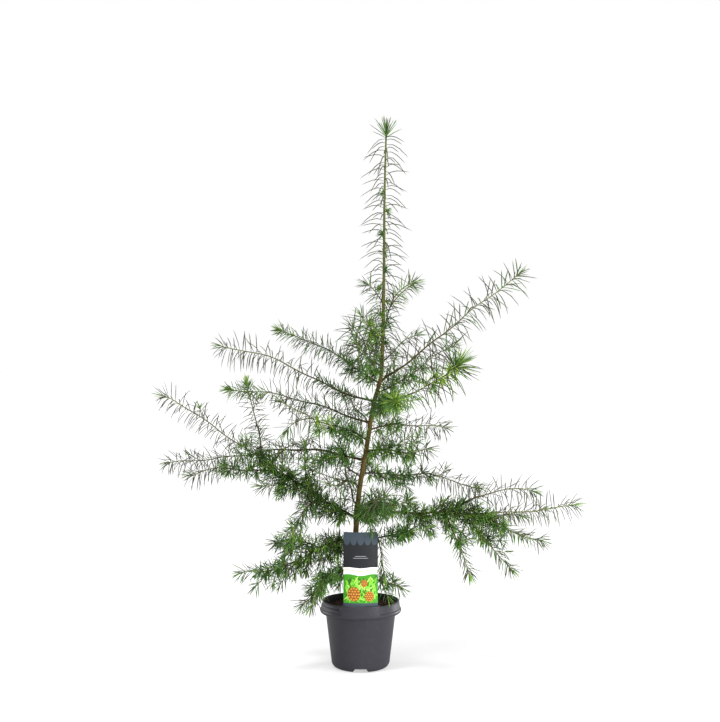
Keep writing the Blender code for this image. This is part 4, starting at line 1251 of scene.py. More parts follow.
    def set_singles(self, shoot: Shoot, spray: Spray, first: float, last: float, dice: random.Random) -> None:
        """Set a stretch's single needles in their spiral.

        Args:
            shoot: the shoot.
            spray: how it is clothed.
            first: the fraction where the stretch starts.
            last: the fraction where it ends.
            dice: seeded numbers.
        """
        roll = dice.uniform(0.0, math.tau)
        count = int(shoot.way.length * (last - first) / spray.pitch)
        for k in range(count):
            fraction = first + (last - first) * (k + dice.random()) / count
            roll += GOLDEN_ANGLE + dice.uniform(-0.5, 0.5)
            to_tip = (1.0 - fraction) * shoot.way.length
            splay = math.radians(dice.uniform(*spray.splay)) * (1.0 - 0.35 * math.exp(-to_tip / 0.015))
            direction = turned(shoot.way.heading(fraction), splay, roll)
            root = shoot.way.point(fraction) + direction * shoot.radius(fraction) * 0.6
            length = dice.uniform(*spray.length) * (1.0 - 0.25 * math.exp(-to_tip / 0.012))
            self.foliage.bundle(spray.kind, dice.choice(spray.tints)).add(
                root, direction, length, dice.uniform(*spray.droop), dice.uniform(-0.5, 0.5))

    def grow_limb(self, limb: Limb, index: int, materials: dict[str, bpy.types.Material]) -> None:
        """Grow a limb's bark, twigs, spurs and needles.

        Args:
            limb: the limb.
            index: its number in the table, from 0.
            materials: the materials made so far.
        """
        dice = random.Random(SEED + 1000 + index)
        twig_dice = random.Random(SEED + 100 + index)
        pile = Pile()
        for number, shoot in enumerate(self.shoots(limb, index)):
            pile.add(*self.bark_tube(shoot, 10 if number == 0 else 8))
            self.clothe(shoot, dice)
            last = shoot.dress[-1][1]
            bright = last in (Dress.FRESH, Dress.BRUSH, Dress.NEW)
            tints = (Tint.BRIGHT, Tint.YOUNG, Tint.OLD) if bright else (Tint.YOUNG, Tint.OLD, Tint.LONG, Tint.LONG)
            if last is Dress.BRUSH:
                self.tuft(shoot.way, (Tint.YOUNG, Tint.BRIGHT, Tint.OLD, Tint.LONG, Tint.LONG), dice, 2 * self.tuft_needles, 1.9, 1.7,
                          NeedleKind.ARCHING)
            elif bright:
                self.tuft(shoot.way, tints, dice, self.tuft_needles, 1.0, 1.2)
            else:
                self.tuft(shoot.way, tints, dice, self.open_tuft_needles, 1.15, 1.4)
            if limb.height < OLD_WOOD_HEIGHT:
                self.grow_twigs(shoot, limb, number, twig_dice, dice)
            self.grow_fine_twigs(shoot, dice)
        nodes = ["bough_" + limb.name] if limb.clothed > 0.0 else []
        finish_piece("limb_" + limb.name, pile.mesh("limb_" + limb.name), SHOOT, materials, nodes)

    def add_twig(self, root: Vector, direction: Vector, length: float, shoot: Shoot, fraction: float,
                 dice: random.Random) -> None:
        """Add a short side twig with its needles.

        Args:
            root: on the stem's way.
            direction: its direction.
            length: its length.
            shoot: the stem.
            fraction: where it leaves the stem.
            dice: seeded numbers.
        """
        points = [root.copy()]
        for i in range(6):
            points.append(points[-1] + (direction + UP * (0.05 * i)).normalized() * (length / 6.0))
        radius = min(0.0013, 0.6 * shoot.radius(fraction))
        twig = Shoot(Way(points), radius, 0.0008, max(shoot.age(fraction), 0.45), shoot.dress, 0.1)
        self.twigs.add(*self.bark_tube(twig, 6))
        near = next(dress.value for until, dress in shoot.dress if fraction <= until)
        pitch = self.twig_pitch if near.rosette_pitch > 0.0 else self.open_twig_pitch
        young = Spray(pitch, self.twig_needle_length, (48.0, 84.0), (0.3, 1.1), near.tints)
        self.set_singles(twig, young, 0.1, 1.0, dice)
        self.tuft(twig.way, (Tint.YOUNG, *near.tints), dice, self.twig_tuft, 0.9, 1.3)

    def grow_twigs(self, shoot: Shoot, limb: Limb, number: int, twig_dice: random.Random,
                   dice: random.Random) -> None:
        """Grow side twigs, left and right in turn, as the frame has them.

        Args:
            shoot: the stem.
            limb: the limb.
            number: 0 for the limb itself, or the fork's number.
            twig_dice: seeded numbers for the twigs' places.
            dice: seeded numbers for their needles.
        """
        start = limb.clothed if number == 0 else 0.0
        length = shoot.way.length - (limb.lead[0] if number == 0 else limb.forks[number - 1].lead[0])
        count = int(length * (1.0 - start) / TWIG_PITCH)
        for k in range(count):
            fraction = start + (0.86 - start) * (k + twig_dice.uniform(0.3, 0.8)) / count
            side = math.radians(90.0 if k % 2 else -90.0)
            roll = side + math.radians(twig_dice.uniform(-40.0, 40.0))
            direction = turned(shoot.way.heading(fraction), twig_dice.uniform(*TWIG_SPLAY), roll)
            reach = TWIG_LENGTH * twig_dice.uniform(0.6, 1.3) * (1.15 - 0.5 * fraction)
            self.add_twig(shoot.way.point(fraction), direction, reach, shoot, fraction, dice)

    def grow_fine_twigs(self, shoot: Shoot, dice: random.Random) -> None:
        """Grow the finer twigs that fill out the old wood.

        Args:
            shoot: the stem.
            dice: seeded numbers.
        """
        first = shoot.start
        for until, dress in shoot.dress:
            spray = dress.value
            if spray.twig_pitch > 0.0:
                count = int(shoot.way.length * (until - first) / spray.twig_pitch)
                for k in range(count):
                    fraction = first + (until - first) * (k + dice.uniform(0.2, 0.8)) / count
                    direction = turned(shoot.way.heading(fraction), math.radians(dice.uniform(35.0, 60.0)),
                                       dice.uniform(0.0, math.tau))
                    direction = (direction - UP * spray.hang * dice.uniform(0.5, 1.2)).normalized()
                    self.add_twig(shoot.way.point(fraction), direction, dice.uniform(*spray.twig_length),
                                  shoot, fraction, dice)
            first = until

    def grow(self, materials: dict[str, bpy.types.Material]) -> None:
        """Grow every limb.

        Args:
            materials: the materials made so far.
        """
        for index, limb in enumerate(LIMBS):
            self.grow_limb(limb, index, materials)


@dataclass
class Leader:
    """The trunk with its bark relief, and the needles of its topmost shoot."""

    sides: int = 26
    ring_pitch: float = 0.0026
    needles_from: float = 0.70
    needle_pitch: float = 0.0034
    needle_length: tuple[float, float] = (0.046, 0.070)
    tuft_size: float = 0.65
    needle_splay: tuple[float, float] = (46.0, 76.0)
    needle_droop: tuple[float, float] = (1.8, 5.6)
    tuft_heights: tuple[float, ...] = (0.735, 0.770, 0.800, 0.830, 0.860, 0.900, 0.943, 0.984, 1.037, 1.078)
    fan_needles: int = 24

    def build_trunk(self, materials: dict[str, bpy.types.Material]) -> None:
        """Make the trunk's bark, with scales, knots and a collar where each limb leaves.

        Args:
            materials: the materials made so far.
        """
        foot, tip = TRUNK_STATIONS[0][0] + 0.3 * MM, TRUNK_STATIONS[-1][0]
        count = math.ceil((tip - foot) / self.ring_pitch)
        heights = [foot + (tip - foot) * i / count for i in range(count + 1)]
        points = [trunk_axis(h) for h in heights]

        def radius_at(i: int, angle: float) -> float:
            """Radius with its relief at a ring and an angle."""
            height = heights[i]
            plain = trunk_radius(height)
            age = 1.0 - (height - foot) / (tip - foot)
            spot = Vector((math.cos(angle) * plain, math.sin(angle) * plain, height * 0.5)) * 330.0
            scales = noise.noise(spot) * 0.055 + abs(noise.noise(spot * 2.3)) * 0.045
            furrow = 0.03 * math.sin(7.0 * angle + 4.0 * math.sin(height * 40.0))
            knots = 0.0
            for limb in LIMBS:
                apart = (height - limb.height) / 0.007
                if abs(apart) < 3.0:
                    turn = math.remainder(angle - math.radians(limb.compass), math.tau) / 0.65
                    knots += 0.22 * math.exp(-apart * apart - turn * turn)
            return plain * (1.0 + (scales + furrow) * (0.35 + 0.9 * age) + knots)

        corners, faces = tube_level(points, radius_at, self.sides)
        mesh = mesh_of("trunk_bark", corners, faces)
        finish_piece("trunk_bark", mesh, BARK, materials, ["trunk"])

    def clothe(self, crown: Crown) -> None:
        """Set the leader's arching needles, its young rosettes and the fan at the top.

        Args:
            crown: the crown that takes the needles.
        """
        dice = random.Random(SEED + 2000)
        tip = TRUNK_STATIONS[-1][0]
        top = tip - 0.010
        count = int((top - self.needles_from) / self.needle_pitch)
        for k in range(count):
            height = self.needles_from + (top - self.needles_from) * (k + 0.5) / count
            splay = math.radians(dice.uniform(*self.needle_splay))
            direction = turned(UP, splay, GOLDEN_ANGLE * k + dice.uniform(-0.2, 0.2))
            root = trunk_axis(height) + direction * trunk_radius(height) * 0.7
            tint = Tint.LONG if dice.random() < 0.8 else Tint.SHADE
            crown.foliage.bundle(NeedleKind.ARCHING, tint).add(
                root, direction, dice.uniform(*self.needle_length), dice.uniform(*self.needle_droop),
                dice.uniform(-0.5, 0.5))
        for number, height in enumerate(self.tuft_heights):
            bearing = GOLDEN_ANGLE * number - 0.4
            outward = (Vector((math.cos(bearing), math.sin(bearing), 0.5))).normalized()
            root = trunk_axis(height) + outward * trunk_radius(height) * 0.9
            crown.rosette(crown.spur(root, outward, 0.8), outward, (Tint.YOUNG, Tint.OLD), dice,
                          self.tuft_size)
        for k in range(self.fan_needles):
            share = k / self.fan_needles
            splay = math.radians(6.0 + 54.0 * share)
            direction = turned(UP, splay * dice.uniform(0.85, 1.1), GOLDEN_ANGLE * k)
            tint = dice.choice((Tint.YOUNG, Tint.OLD, Tint.LONG))
            crown.foliage.bundle(NeedleKind.ARCHING, tint).add(
                trunk_axis(tip) - UP * 0.014 * share, direction, dice.uniform(0.032, 0.050), dice.uniform(0.0, 0.4),
                dice.uniform(-0.6, 0.6))


def tube_level(points: Sequence[Vector], radius_at: Callable[[int, float], float],
               sides: int) -> tuple[np.ndarray, np.ndarray]:
    """Make a closed tube whose rings all lie level, so that its foot is cut flat.

    Args:
        points: the middle of each ring.
        radius_at: the radius for a ring's number and a compass angle.
        sides: corners in a ring.

    Returns:
        The corners and the triangles.
    """
    corners = []
    for i, point in enumerate(points):
        for k in range(sides):
            angle = math.tau * k / sides
            corners.append(point + Vector((math.cos(angle), math.sin(angle), 0.0)) * radius_at(i, angle))
    faces = []
    for i in range(len(points) - 1):
        for k in range(sides):
            near, far = i * sides + k, i * sides + (k + 1) % sides
            faces += [(near, far, far + sides), (near, far + sides, near + sides)]
    last = (len(points) - 1) * sides
    corners += [points[0], points[-1] + UP * 0.002]
    for k in range(sides):
        faces.append((len(corners) - 2, (k + 1) % sides, k))
        faces.append((len(corners) - 1, last + k, last + (k + 1) % sides))
    return np.array([tuple(c) for c in corners]), np.array(faces)


# Pot, soil and label


def lathe(name: str, outline: Sequence[tuple[float, float]], sides: int) -> bpy.types.Mesh:
    """Turn an outline round the pot's axis.

    Args:
        name: the mesh's name.
        outline: radius and height of each point; it may start and end on the axis.
        sides: steps round.

    Returns:
        The closed mesh.
    """
    form = bmesh.new()
    verts = [form.verts.new((radius, 0.0, height)) for radius, height in outline]
    edges = [form.edges.new(pair) for pair in zip(verts, verts[1:])]
    if outline[0][0] > 0.0:
        edges.append(form.edges.new((verts[-1], verts[0])))
    bmesh.ops.spin(form, geom=verts + edges, axis=(0, 0, 1), cent=(0, 0, 0), angle=math.tau, steps=sides,
                   use_merge=True)
    bmesh.ops.remove_doubles(form, verts=form.verts, dist=1e-6)
    bmesh.ops.recalc_face_normals(form, faces=form.faces)
    mesh = bpy.data.meshes.new(name)
    form.to_mesh(mesh)
    form.free()
    return mesh


def sector(name: str, outline: Sequence[tuple[float, float]], half_angle: float, steps: int) -> bpy.types.Mesh:
    """Bend a closed outline round the pot's axis, centred on the front.

    Args:
        name: the mesh's name.
        outline: radius and height of each point, running once round.
        half_angle: how far it reaches to each side.
        steps: steps from end to end.

    Returns:
        The closed mesh.
    """
    count = len(outline)
    corners, faces = [], []
    for i in range(steps + 1):
        angle = -math.pi / 2.0 - half_angle + 2.0 * half_angle * i / steps
        corners += [(radius * math.cos(angle), radius * math.sin(angle), height) for radius, height in outline]
    for i in range(steps):
        for k in range(count):
            near, far = count * i, count * (i + 1)
            faces.append((near + k, near + (k + 1) % count, far + (k + 1) % count, far + k))
    faces += [tuple(range(count))[::-1], tuple(count * steps + k for k in range(count))]
    mesh = bpy.data.meshes.new(name)
    mesh.from_pydata(corners, [], faces)
    form = bmesh.new()
    form.from_mesh(mesh)
    bmesh.ops.recalc_face_normals(form, faces=form.faces)
    form.to_mesh(mesh)
    form.free()
    return mesh


def arc(centre: tuple[float, float], radius: float, first: float, last: float,
        steps: int) -> list[tuple[float, float]]:
    """List the points of an arc.

    Args:
        centre: its middle.
        radius: its radius.
        first: its first angle in degrees.
        last: its last angle in degrees.
        steps: steps between them.

    Returns:
        The points.
    """
    points = []
    for i in range(steps + 1):
        angle = math.radians(first + (last - first) * i / steps)
        points.append((centre[0] + radius * math.cos(angle), centre[1] + radius * math.sin(angle)))
    return points


def combine(body: bpy.types.Object, tools: Sequence[bpy.types.Object], operation: str) -> None:
    """Join, cut or intersect a body with tools, and remove the tools.

    Args:
        body: the object to change.
        tools: the objects to do it with.
        operation: UNION, DIFFERENCE or INTERSECT.
    """
    for tool in tools:
        step = body.modifiers.new("step", "BOOLEAN")
        step.operation = operation
        step.solver = "EXACT"
        step.object = tool
    bpy.context.view_layer.update()
    graph = bpy.context.evaluated_depsgraph_get()
    body.data = bpy.data.meshes.new_from_object(body.evaluated_get(graph))
    body.modifiers.clear()
    for tool in tools:
        bpy.data.objects.remove(tool, do_unlink=True)


def loose_object(mesh: bpy.types.Mesh) -> bpy.types.Object:
    """Link a mesh as a helper object."""
    thing = bpy.data.objects.new(mesh.name, mesh)
    bpy.context.scene.collection.objects.link(thing)
    return thing


@dataclass
class Pot:
    """The nursery pot: a moulded shell with a folded rim, a label pocket and foot channels."""

    height: float = 0.151
    wall: float = 0.0018
    floor: float = 0.0025
    top_radius: float = 0.0874
    mouth_radius: float = 0.0850
    bead_radius: float = 0.0930
    bead_height: float = 0.1295
    bead_round: float = 0.0065
    edge_radius: float = 0.0885
    edge_height: float = 0.1235
    hollow_height: float = 0.1300
    wall_top_radius: float = 0.0794
    wall_top_height: float = 0.1186
    wall_foot_radius: float = 0.0668
    foot_height: float = 0.015
    foot_radius: float = 0.0550
    panel_low: float = 0.1418
    panel_high: float = 0.1504
    panel_depth: float = 0.0022
    panel_edge: float = 0.0021
    panel_ends: tuple[float, float] = (math.radians(40.0), math.radians(240.5))
    soil_shoulder: float = 0.0080
    sides: int = 240
    channels: int = 3
    channel_height: float = 0.009
    channel_top_width: float = 0.025
    channel_foot_width: float = 0.036
    channel_inner_radius: float = 0.020
    channel_wall: float = 0.0020
    pocket_half_angle: float = math.radians(28.5)
    pocket_outer_radius: float = 0.0925
    pocket_top: float = 0.1545
    pocket_foot: float = 0.1290

    def foot_arc(self, inset: float, steps: int) -> list[tuple[float, float]]:
        """The rounded corner between underside and wall.

        Args:
            inset: how far inside the outer face.
            steps: steps along it.

        Returns:
            Radius and height of each point, from the underside up.
        """
        points = []
        for i in range(steps + 1):
            angle = math.pi / 2.0 * i / steps
            radius = self.foot_radius + (self.wall_foot_radius - self.foot_radius) * math.sin(angle)
            height = self.foot_height * (1.0 - math.cos(angle))
            share = i / steps
            points.append((radius - inset * share, height + inset * (1.0 - share)))
        return points

    def flange(self) -> list[tuple[float, float]]:
        """The folded rim's outline, from its lower edge round the bead and up to the mouth."""
        bead_middle = self.bead_radius - self.bead_round
        bead_end = math.radians(52.0)
        slope_foot = (bead_middle + self.bead_round * math.cos(bead_end),
                      self.bead_height + self.bead_round * math.sin(bead_end))
        slope_top = (self.top_radius + 0.0012, self.height - 0.0030)
        points = [(self.edge_radius - 0.0009, self.edge_height + 0.0009)]
        points += arc((self.edge_radius, self.edge_height + 0.0009), 0.0009, 250.0, 330.0, 5)
        points += [(self.bead_radius - 0.0030, self.bead_height - 0.0053)]
        points += arc((bead_middle, self.bead_height), self.bead_round, -40.0, 52.0, 12)
        steps = 26
        for i in range(steps + 1):
            share = 0.04 + 0.96 * i / steps
            points.append((slope_foot[0] + (slope_top[0] - slope_foot[0]) * share,
                           slope_foot[1] + (slope_top[1] - slope_foot[1]) * share))
        points += arc((self.top_radius - 0.0004, self.height - 0.0018), 0.0018, 30.0, 90.0, 5)
        points += arc((self.mouth_radius + 0.0010, self.height - 0.0010), 0.0010, 90.0, 180.0, 4)
        return points

    def press_panel(self, mesh: bpy.types.Mesh) -> None:
        """Press the shallow long panel with round ends into the rim's slope.

        Args:
            mesh: the turned shell.
        """
        half = (self.panel_high - self.panel_low) / 2.0
        middle = self.panel_low + half
        end = half / self.top_radius
        for vertex in mesh.vertices:
            x, y, z = vertex.co
            radius = math.hypot(x, y)
            if radius < self.top_radius or not self.panel_low < z < self.panel_high:
                continue
            first, last = self.panel_ends
            turn = math.atan2(y, x) % math.tau
            beyond = max(first + end - turn, turn - last + end, 0.0) * self.top_radius
            edge = half - math.hypot(beyond, z - middle)
            press = self.panel_depth * min(max(edge / self.panel_edge, 0.0), 1.0)
            vertex.co.x -= x / radius * press
            vertex.co.y -= y / radius * press

    def channel(self, grown: float, low: float, turn: float) -> bpy.types.Object:
        """A drainage channel's prism.

        Args:
            grown: how far it stands out from the channel itself.
            low: its lower height.
            turn: its compass angle.

        Returns:
            The prism as a helper object.
        """
        top = self.channel_height + grown
        lean = (self.channel_foot_width - self.channel_top_width) / 2.0 / self.channel_height
        half_top = self.channel_foot_width / 2.0 - lean * top + grown * 1.5
        half_low = self.channel_foot_width / 2.0 - lean * low + grown * 1.5
        section = ((-half_low, low), (half_low, low), (half_top, top), (-half_top, top))
        ends = (self.channel_inner_radius - grown, self.top_radius)
        corners = [(x, y, z) for x in ends for y, z in section]
        faces = [(3, 2, 1, 0), (4, 5, 6, 7)]
        faces += [(k, (k + 1) % 4, (k + 1) % 4 + 4, k + 4) for k in range(4)]
        mesh = bpy.data.meshes.new("channel")
        mesh.from_pydata(corners, [], faces)
        mesh.transform(Matrix.Rotation(turn, 4, "Z"))
        form = bmesh.new()
        form.from_mesh(mesh)
        bmesh.ops.recalc_face_normals(form, faces=form.faces)
        form.to_mesh(mesh)
        form.free()
        return loose_object(mesh)

    def inner_outline(self, clearance: float, low: float = 0.0) -> list[tuple[float, float]]:
        """The room inside the pot up to the shoulder under the rim.

        Args:
            clearance: how far it stays off the shell.
            low: the lowest height that it reaches down to.

        Returns:
            Radius and height of each point, starting and ending on the axis.
        """
        top = self.wall_top_radius - self.wall - clearance
        low = max(low, self.floor + clearance)
        sides = [(r, max(h, low)) for r, h in self.foot_arc(self.wall + clearance, 8)]
        return ([(0.0, low)] + sides[1:] + [(top, self.wall_top_height),
                (top, self.wall_top_height + self.soil_shoulder), (0.0, self.wall_top_height)])

    def pocket(self) -> bpy.types.Object:
        """The smooth panel with a rounded lip that the label stands in."""
        inner, outer = self.mouth_radius + 0.0004, self.pocket_outer_radius
        lip = 0.0022
        outline = [(inner, self.pocket_foot), (outer - 0.0012, self.pocket_foot)]
        outline += [(outer, self.pocket_foot + 0.0020), (outer - 0.0002, self.pocket_foot + 0.0100)]
        outline += arc((outer - 0.0016 - lip, self.pocket_top - lip), lip, 0.0, 90.0, 5)
        outline += [(inner + 0.0010, self.pocket_top), (inner, self.pocket_top - 0.0010)]
        piece = loose_object(sector("pocket", outline, self.pocket_half_angle, 40))
        return piece

    def build(self, materials: dict[str, bpy.types.Material]) -> None:
        """Make the pot.

        Args:
            materials: the materials made so far.
        """
        turns = [-math.pi / 2.0 + math.tau * k / self.channels for k in range(self.channels)]
        outline = [(0.0, 0.0)] + self.foot_arc(0.0, 10) + [
            (self.wall_top_radius, self.wall_top_height),
            (self.wall_top_radius + 0.0015, self.hollow_height),
            (self.edge_radius - 0.0018, self.hollow_height),
        ] + self.flange() + [
            (self.wall_top_radius - self.wall, self.wall_top_height + self.soil_shoulder),
            (self.wall_top_radius - self.wall, self.wall_top_height),
        ] + self.foot_arc(self.wall, 10)[::-1]
        outline[-1] = (self.foot_radius, self.floor)
        turned_shell = lathe("pot_shell", outline + [(0.0, self.floor)], self.sides)
        self.press_panel(turned_shell)
        shell = loose_object(turned_shell)
        limit = loose_object(lathe("limit", self.inner_outline(-0.3 * MM), self.sides))
        ridges = [self.channel(self.channel_wall, self.floor / 2.0, turn) for turn in turns]
        for ridge in ridges:
            trim = ridge.modifiers.new("trim", "BOOLEAN")
            trim.operation, trim.solver, trim.object = "INTERSECT", "EXACT", limit
        combine(shell, ridges + [self.pocket()], "UNION")
        bpy.data.objects.remove(limit, do_unlink=True)
        slot = sector("slot", ((Label.radius - 0.3 * MM, Label.foot - 0.3 * MM),
                               (Label.radius + Label.thickness + 0.3 * MM, Label.foot - 0.3 * MM),
                               (Label.radius + Label.thickness + 0.3 * MM, 0.17),
                               (Label.radius - 0.3 * MM, 0.17)), Label.half_angle + math.radians(0.4), 40)
        combine(shell, [self.channel(0.0, -0.01, turn) for turn in turns] + [loose_object(slot)], "DIFFERENCE")
        mesh = shell.data
        bpy.data.objects.remove(shell, do_unlink=True)
        mesh.shade_smooth()
        mesh.set_sharp_from_angle(angle=math.radians(32.0))
        finish_piece("moulded_pot", mesh, POT_PLASTIC, materials, ["pot"])


@dataclass
class Soil:
    """The compost: a crumbly crowned surface over a plain body, with loose crumbs on it."""

    level: float = 0.1390
    edge_level: float = 0.1368
    radius: float = 0.0786
    rings: int = 44
    sides: int = 150
    crumbs: int = 1500
    crumb_size: tuple[float, float] = (0.0008, 0.0026)

    def surface_height(self, x: float, y: float) -> float:
        """The compost's height at a place, with its lumps."""
        share = min(math.hypot(x, y) / self.radius, 1.0)
        lumps = noise.fractal(Vector((x, y, 0.3)) * 70.0, 0.8, 2.1, 4)
        return self.level + (self.edge_level - self.level) * share ** 1.6 + 0.0011 * lumps

    def build(self, pot: Pot, materials: dict[str, bpy.types.Material]) -> None:
        """Make the compost and its crumbs.

        Args:
            pot: the pot that holds it.
            materials: the materials made so far.
        """
        body = pot.inner_outline(0.5 * MM, pot.channel_height + pot.channel_wall + 0.5 * MM)
        outline = body[:-2] + [(self.radius - 0.0014, pot.wall_top_height + pot.soil_shoulder)]
        corners = [(0.0, 0.0, outline[0][1])]
        rows = outline[1:]
        rows += [(self.radius * (1.0 - i / self.rings), None) for i in range(self.rings)]
        for radius, height in rows:
            for k in range(self.sides):
                angle = math.tau * k / self.sides
                x, y = radius * math.cos(angle), radius * math.sin(angle)
                corners.append((x, y, self.surface_height(x, y) if height is None else height))
        corners.append((0.0, 0.0, self.surface_height(0.0, 0.0)))
        faces = []
        for k in range(self.sides):
            far = (k + 1) % self.sides
            faces.append((0, 1 + far, 1 + k))
            for i in range(len(rows) - 1):
                low, high = 1 + i * self.sides, 1 + (i + 1) * self.sides
                faces += [(low + k, low + far, high + far), (low + k, high + far, high + k)]
            top = 1 + (len(rows) - 1) * self.sides
            faces.append((top + k, top + far, len(corners) - 1))
        mesh = mesh_of("compost", np.array(corners), np.array(faces))
        finish_piece("compost", mesh, PEAT, materials, ["soil"])
        self.scatter(materials)

    def scatter(self, materials: dict[str, bpy.types.Material]) -> None:
        """Scatter crumbs and slivers of bark over the compost.

        Args:
            materials: the materials made so far.
        """
        dice = random.Random(SEED + 3000)
        ball = bmesh.new()
        bmesh.ops.create_icosphere(ball, subdivisions=1, radius=1.0)
        base = np.array([tuple(v.co) for v in ball.verts])
        faces = np.array([[v.index for v in face.verts] for face in ball.faces])
        ball.free()
        crumbs = Pile()
        for _ in range(self.crumbs):
            radius = self.radius * 0.975 * math.sqrt(dice.random())
            angle = dice.uniform(0.0, math.tau)
            x, y = radius * math.cos(angle), radius * math.sin(angle)
            size = dice.uniform(*self.crumb_size) * (1.0 if dice.random() < 0.93 else 1.7)
            stretch = np.array([dice.uniform(0.5, 1.4), dice.uniform(0.5, 1.0), dice.uniform(0.35, 0.7)])
            rough = np.array([[dice.uniform(0.75, 1.2)] for _ in base])
            turn = Matrix.Rotation(dice.uniform(0.0, math.tau), 3, "Z") @ Matrix.Rotation(dice.uniform(-0.5, 0.5), 3, "X")
            shape = (base * rough * stretch * size) @ np.array(turn).T
            crumbs.add(shape + np.array([x, y, self.surface_height(x, y) + 0.15 * size]), faces)
        finish_piece("compost_crumbs", crumbs.mesh("compost_crumbs", smooth=False), PEAT, materials)


@dataclass
class Label:
    """The label card in its pocket, with a plain printed design of hoops, band and sprigs."""

    radius: float = 0.0866
    thickness: float = 0.0008
    half_angle: float = math.radians(26.0)
    foot: float = 0.1335
    top: float = 0.318
    corner: float = 0.004
    ink: float = 0.00005
    band_low: float = 0.2235
    band_high: float = 0.2440
    green_low: float = 0.1610
    slate_low: float = 0.3040
    scallops: int = 5
    scallop_depth: float = 0.0150
    leaves: int = 240
    leaf_length: tuple[float, float] = (0.012, 0.020)
    leaf_lean: float = 65.0
    berries: tuple[tuple[float, float, float], ...] = ((-0.0150, 0.1810, 0.0290), (0.0195, 0.1760, 0.0210),
                                                       (0.0080, 0.2050, 0.0150))
    inks: dict[str, Pile] = field(default_factory=dict)

    def width(self) -> float:
        """The card's width along its curve."""
        return 2.0 * self.half_angle * self.radius

    def bent(self, across: float, height: float, lift: float) -> tuple[float, float, float]:
        """Bend a place on the flat card round the pot's axis.

        Args:
            across: from the card's middle, along its curve.
            height: above the ground.
            lift: outward from the card's back.

        Returns:
            The place.
        """
        angle = -math.pi / 2.0 + across / self.radius
        return (self.radius + lift) * math.cos(angle), (self.radius + lift) * math.sin(angle), height

    def sheet(self, place: Callable[[float, float], tuple[float, float]], columns: int, rows: int,
              back: float, front: float) -> tuple[np.ndarray, np.ndarray]:
        """Make a thin closed sheet from a grid.

        Args:
            place: turns grid shares from 0 to 1 into a place across and up the card.
            columns: steps along the first share.
            rows: steps along the second.
            back: its back's lift.
            front: its front's lift.

        Returns:
            The corners and the triangles, facing outward.
        """
        corners = []
        for lift in (back, front):
            for i in range(columns + 1):
                corners += [self.bent(*place(i / columns, j / rows), lift) for j in range(rows + 1)]
        side = (columns + 1) * (rows + 1)
        quads = []
        for i in range(columns):
            for j in range(rows):
                a = i * (rows + 1) + j
                b, c, d = a + 1, a + rows + 2, a + rows + 1
                quads += [(a, b, c, d), (a + side, d + side, c + side, b + side)]
        rim = [i * (rows + 1) for i in range(columns + 1)]
        rim += [columns * (rows + 1) + j for j in range(1, rows + 1)]
        rim += [i * (rows + 1) + rows for i in range(columns - 1, -1, -1)]
        rim += [j for j in range(rows - 1, 0, -1)]
        for k, near in enumerate(rim):
            far = rim[(k + 1) % len(rim)]
            quads.append((near, far, far + side, near + side))
        shape = np.array(corners)
        faces = np.array([part for a, b, c, d in quads for part in ((a, b, c), (a, c, d))])
        first, second, third = (shape[faces[:, k]] for k in range(3))
        volume = np.einsum("ij,ij->", first, np.cross(second, third))
        return shape, faces if volume > 0.0 else faces[:, ::-1]

    def card_place(self, u: float, v: float) -> tuple[float, float]:
        """Place on the card, whose two upper corners are rounded."""
        half = self.width() / 2.0
        across = -half + 2.0 * half * u
        inset = max(0.0, abs(across) - (half - self.corner))
        top = self.top - self.corner + math.sqrt(max(self.corner ** 2 - inset ** 2, 0.0))
        return across, self.foot + (top - self.foot) * v

    def print_shape(self, ink: Finish, layer: float, place: Callable[[float, float], tuple[float, float]],
                    columns: int, rows: int) -> None:
        """Print a shape on the card's front.

        Args:
            ink: its ink.
            layer: how many inks it lies on.
            place: its grid.
            columns: steps along the grid's first share.
            rows: steps along the second.
        """
        back = self.thickness + self.ink * (layer - 0.5)
        front = self.thickness + self.ink * (layer + 1.0)
        pile = self.inks.setdefault(ink.name, Pile())
        pile.add(*self.sheet(place, columns, rows, back, front))

    def oval(self, middle: tuple[float, float], angle: float, length: float, width: float,
             fullness: float = 0.5) -> Callable[[float, float], tuple[float, float]]:
        """Make the grid of an oval; a fullness of 0.5 makes an ellipse, and more makes it pointed.

        Args:
            middle: its middle, across and up the card.
            angle: the direction of its length.
            length: its length.
            width: its width.
            fullness: the power of its outline.

        Returns:
            The grid.
        """
        def place(u: float, v: float) -> tuple[float, float]:
            """Place on the oval."""
            share = 0.01 + 0.98 * u
            out = length * (share - 0.5)
            side = width * (4.0 * share * (1.0 - share)) ** fullness * (v - 0.5)
            return (middle[0] + out * math.cos(angle) - side * math.sin(angle),
                    middle[1] + out * math.sin(angle) + side * math.cos(angle))
        return place

    def build(self, materials: dict[str, bpy.types.Material]) -> None:
        """Make the card and its print.

        Args:
            materials: the materials made so far.
        """
        card = Pile()
        card.add(*self.sheet(self.card_place, 48, 12, 0.0, self.thickness))
        finish_piece("label_card", card.mesh("label_card", smooth=False), CHARCOAL_INK, materials, ["label"])
        self.print_fields()
        self.print_leaves()
        for finish in (SLATE_INK, GREY_INK, WHITE_INK, ORANGE_INK, GREEN_INK, DEEP_INK, LEAF_INK, PALE_INK, BERRY_INK):
            name = "label_" + finish.name
            finish_piece(name, self.inks[finish.name].mesh(name, smooth=False), finish, materials)

    def print_fields(self) -> None:
        """Print the slate scallops and foot strip, two thin rules, the wavy band and the green field."""
        inner = self.width() / 2.0 - 0.2 * MM

        def scallops(u: float, v: float) -> tuple[float, float]:
            """The slate area, whose lower edge hangs in scallops."""
            across = -inner + 2.0 * inner * u
            turn = 2.0 * ((u * self.scallops) % 1.0) - 1.0
            low = self.slate_low - self.scallop_depth * math.sqrt(max(1.0 - turn * turn, 0.0))
            top = self.card_place(0.5 + across / self.width(), 1.0)[1] - 0.2 * MM
            return across, low + (top - low) * v

        def wave(u: float) -> float:
            """The band's swing at a share across the card."""
            return math.sin(math.tau * 1.5 * u)

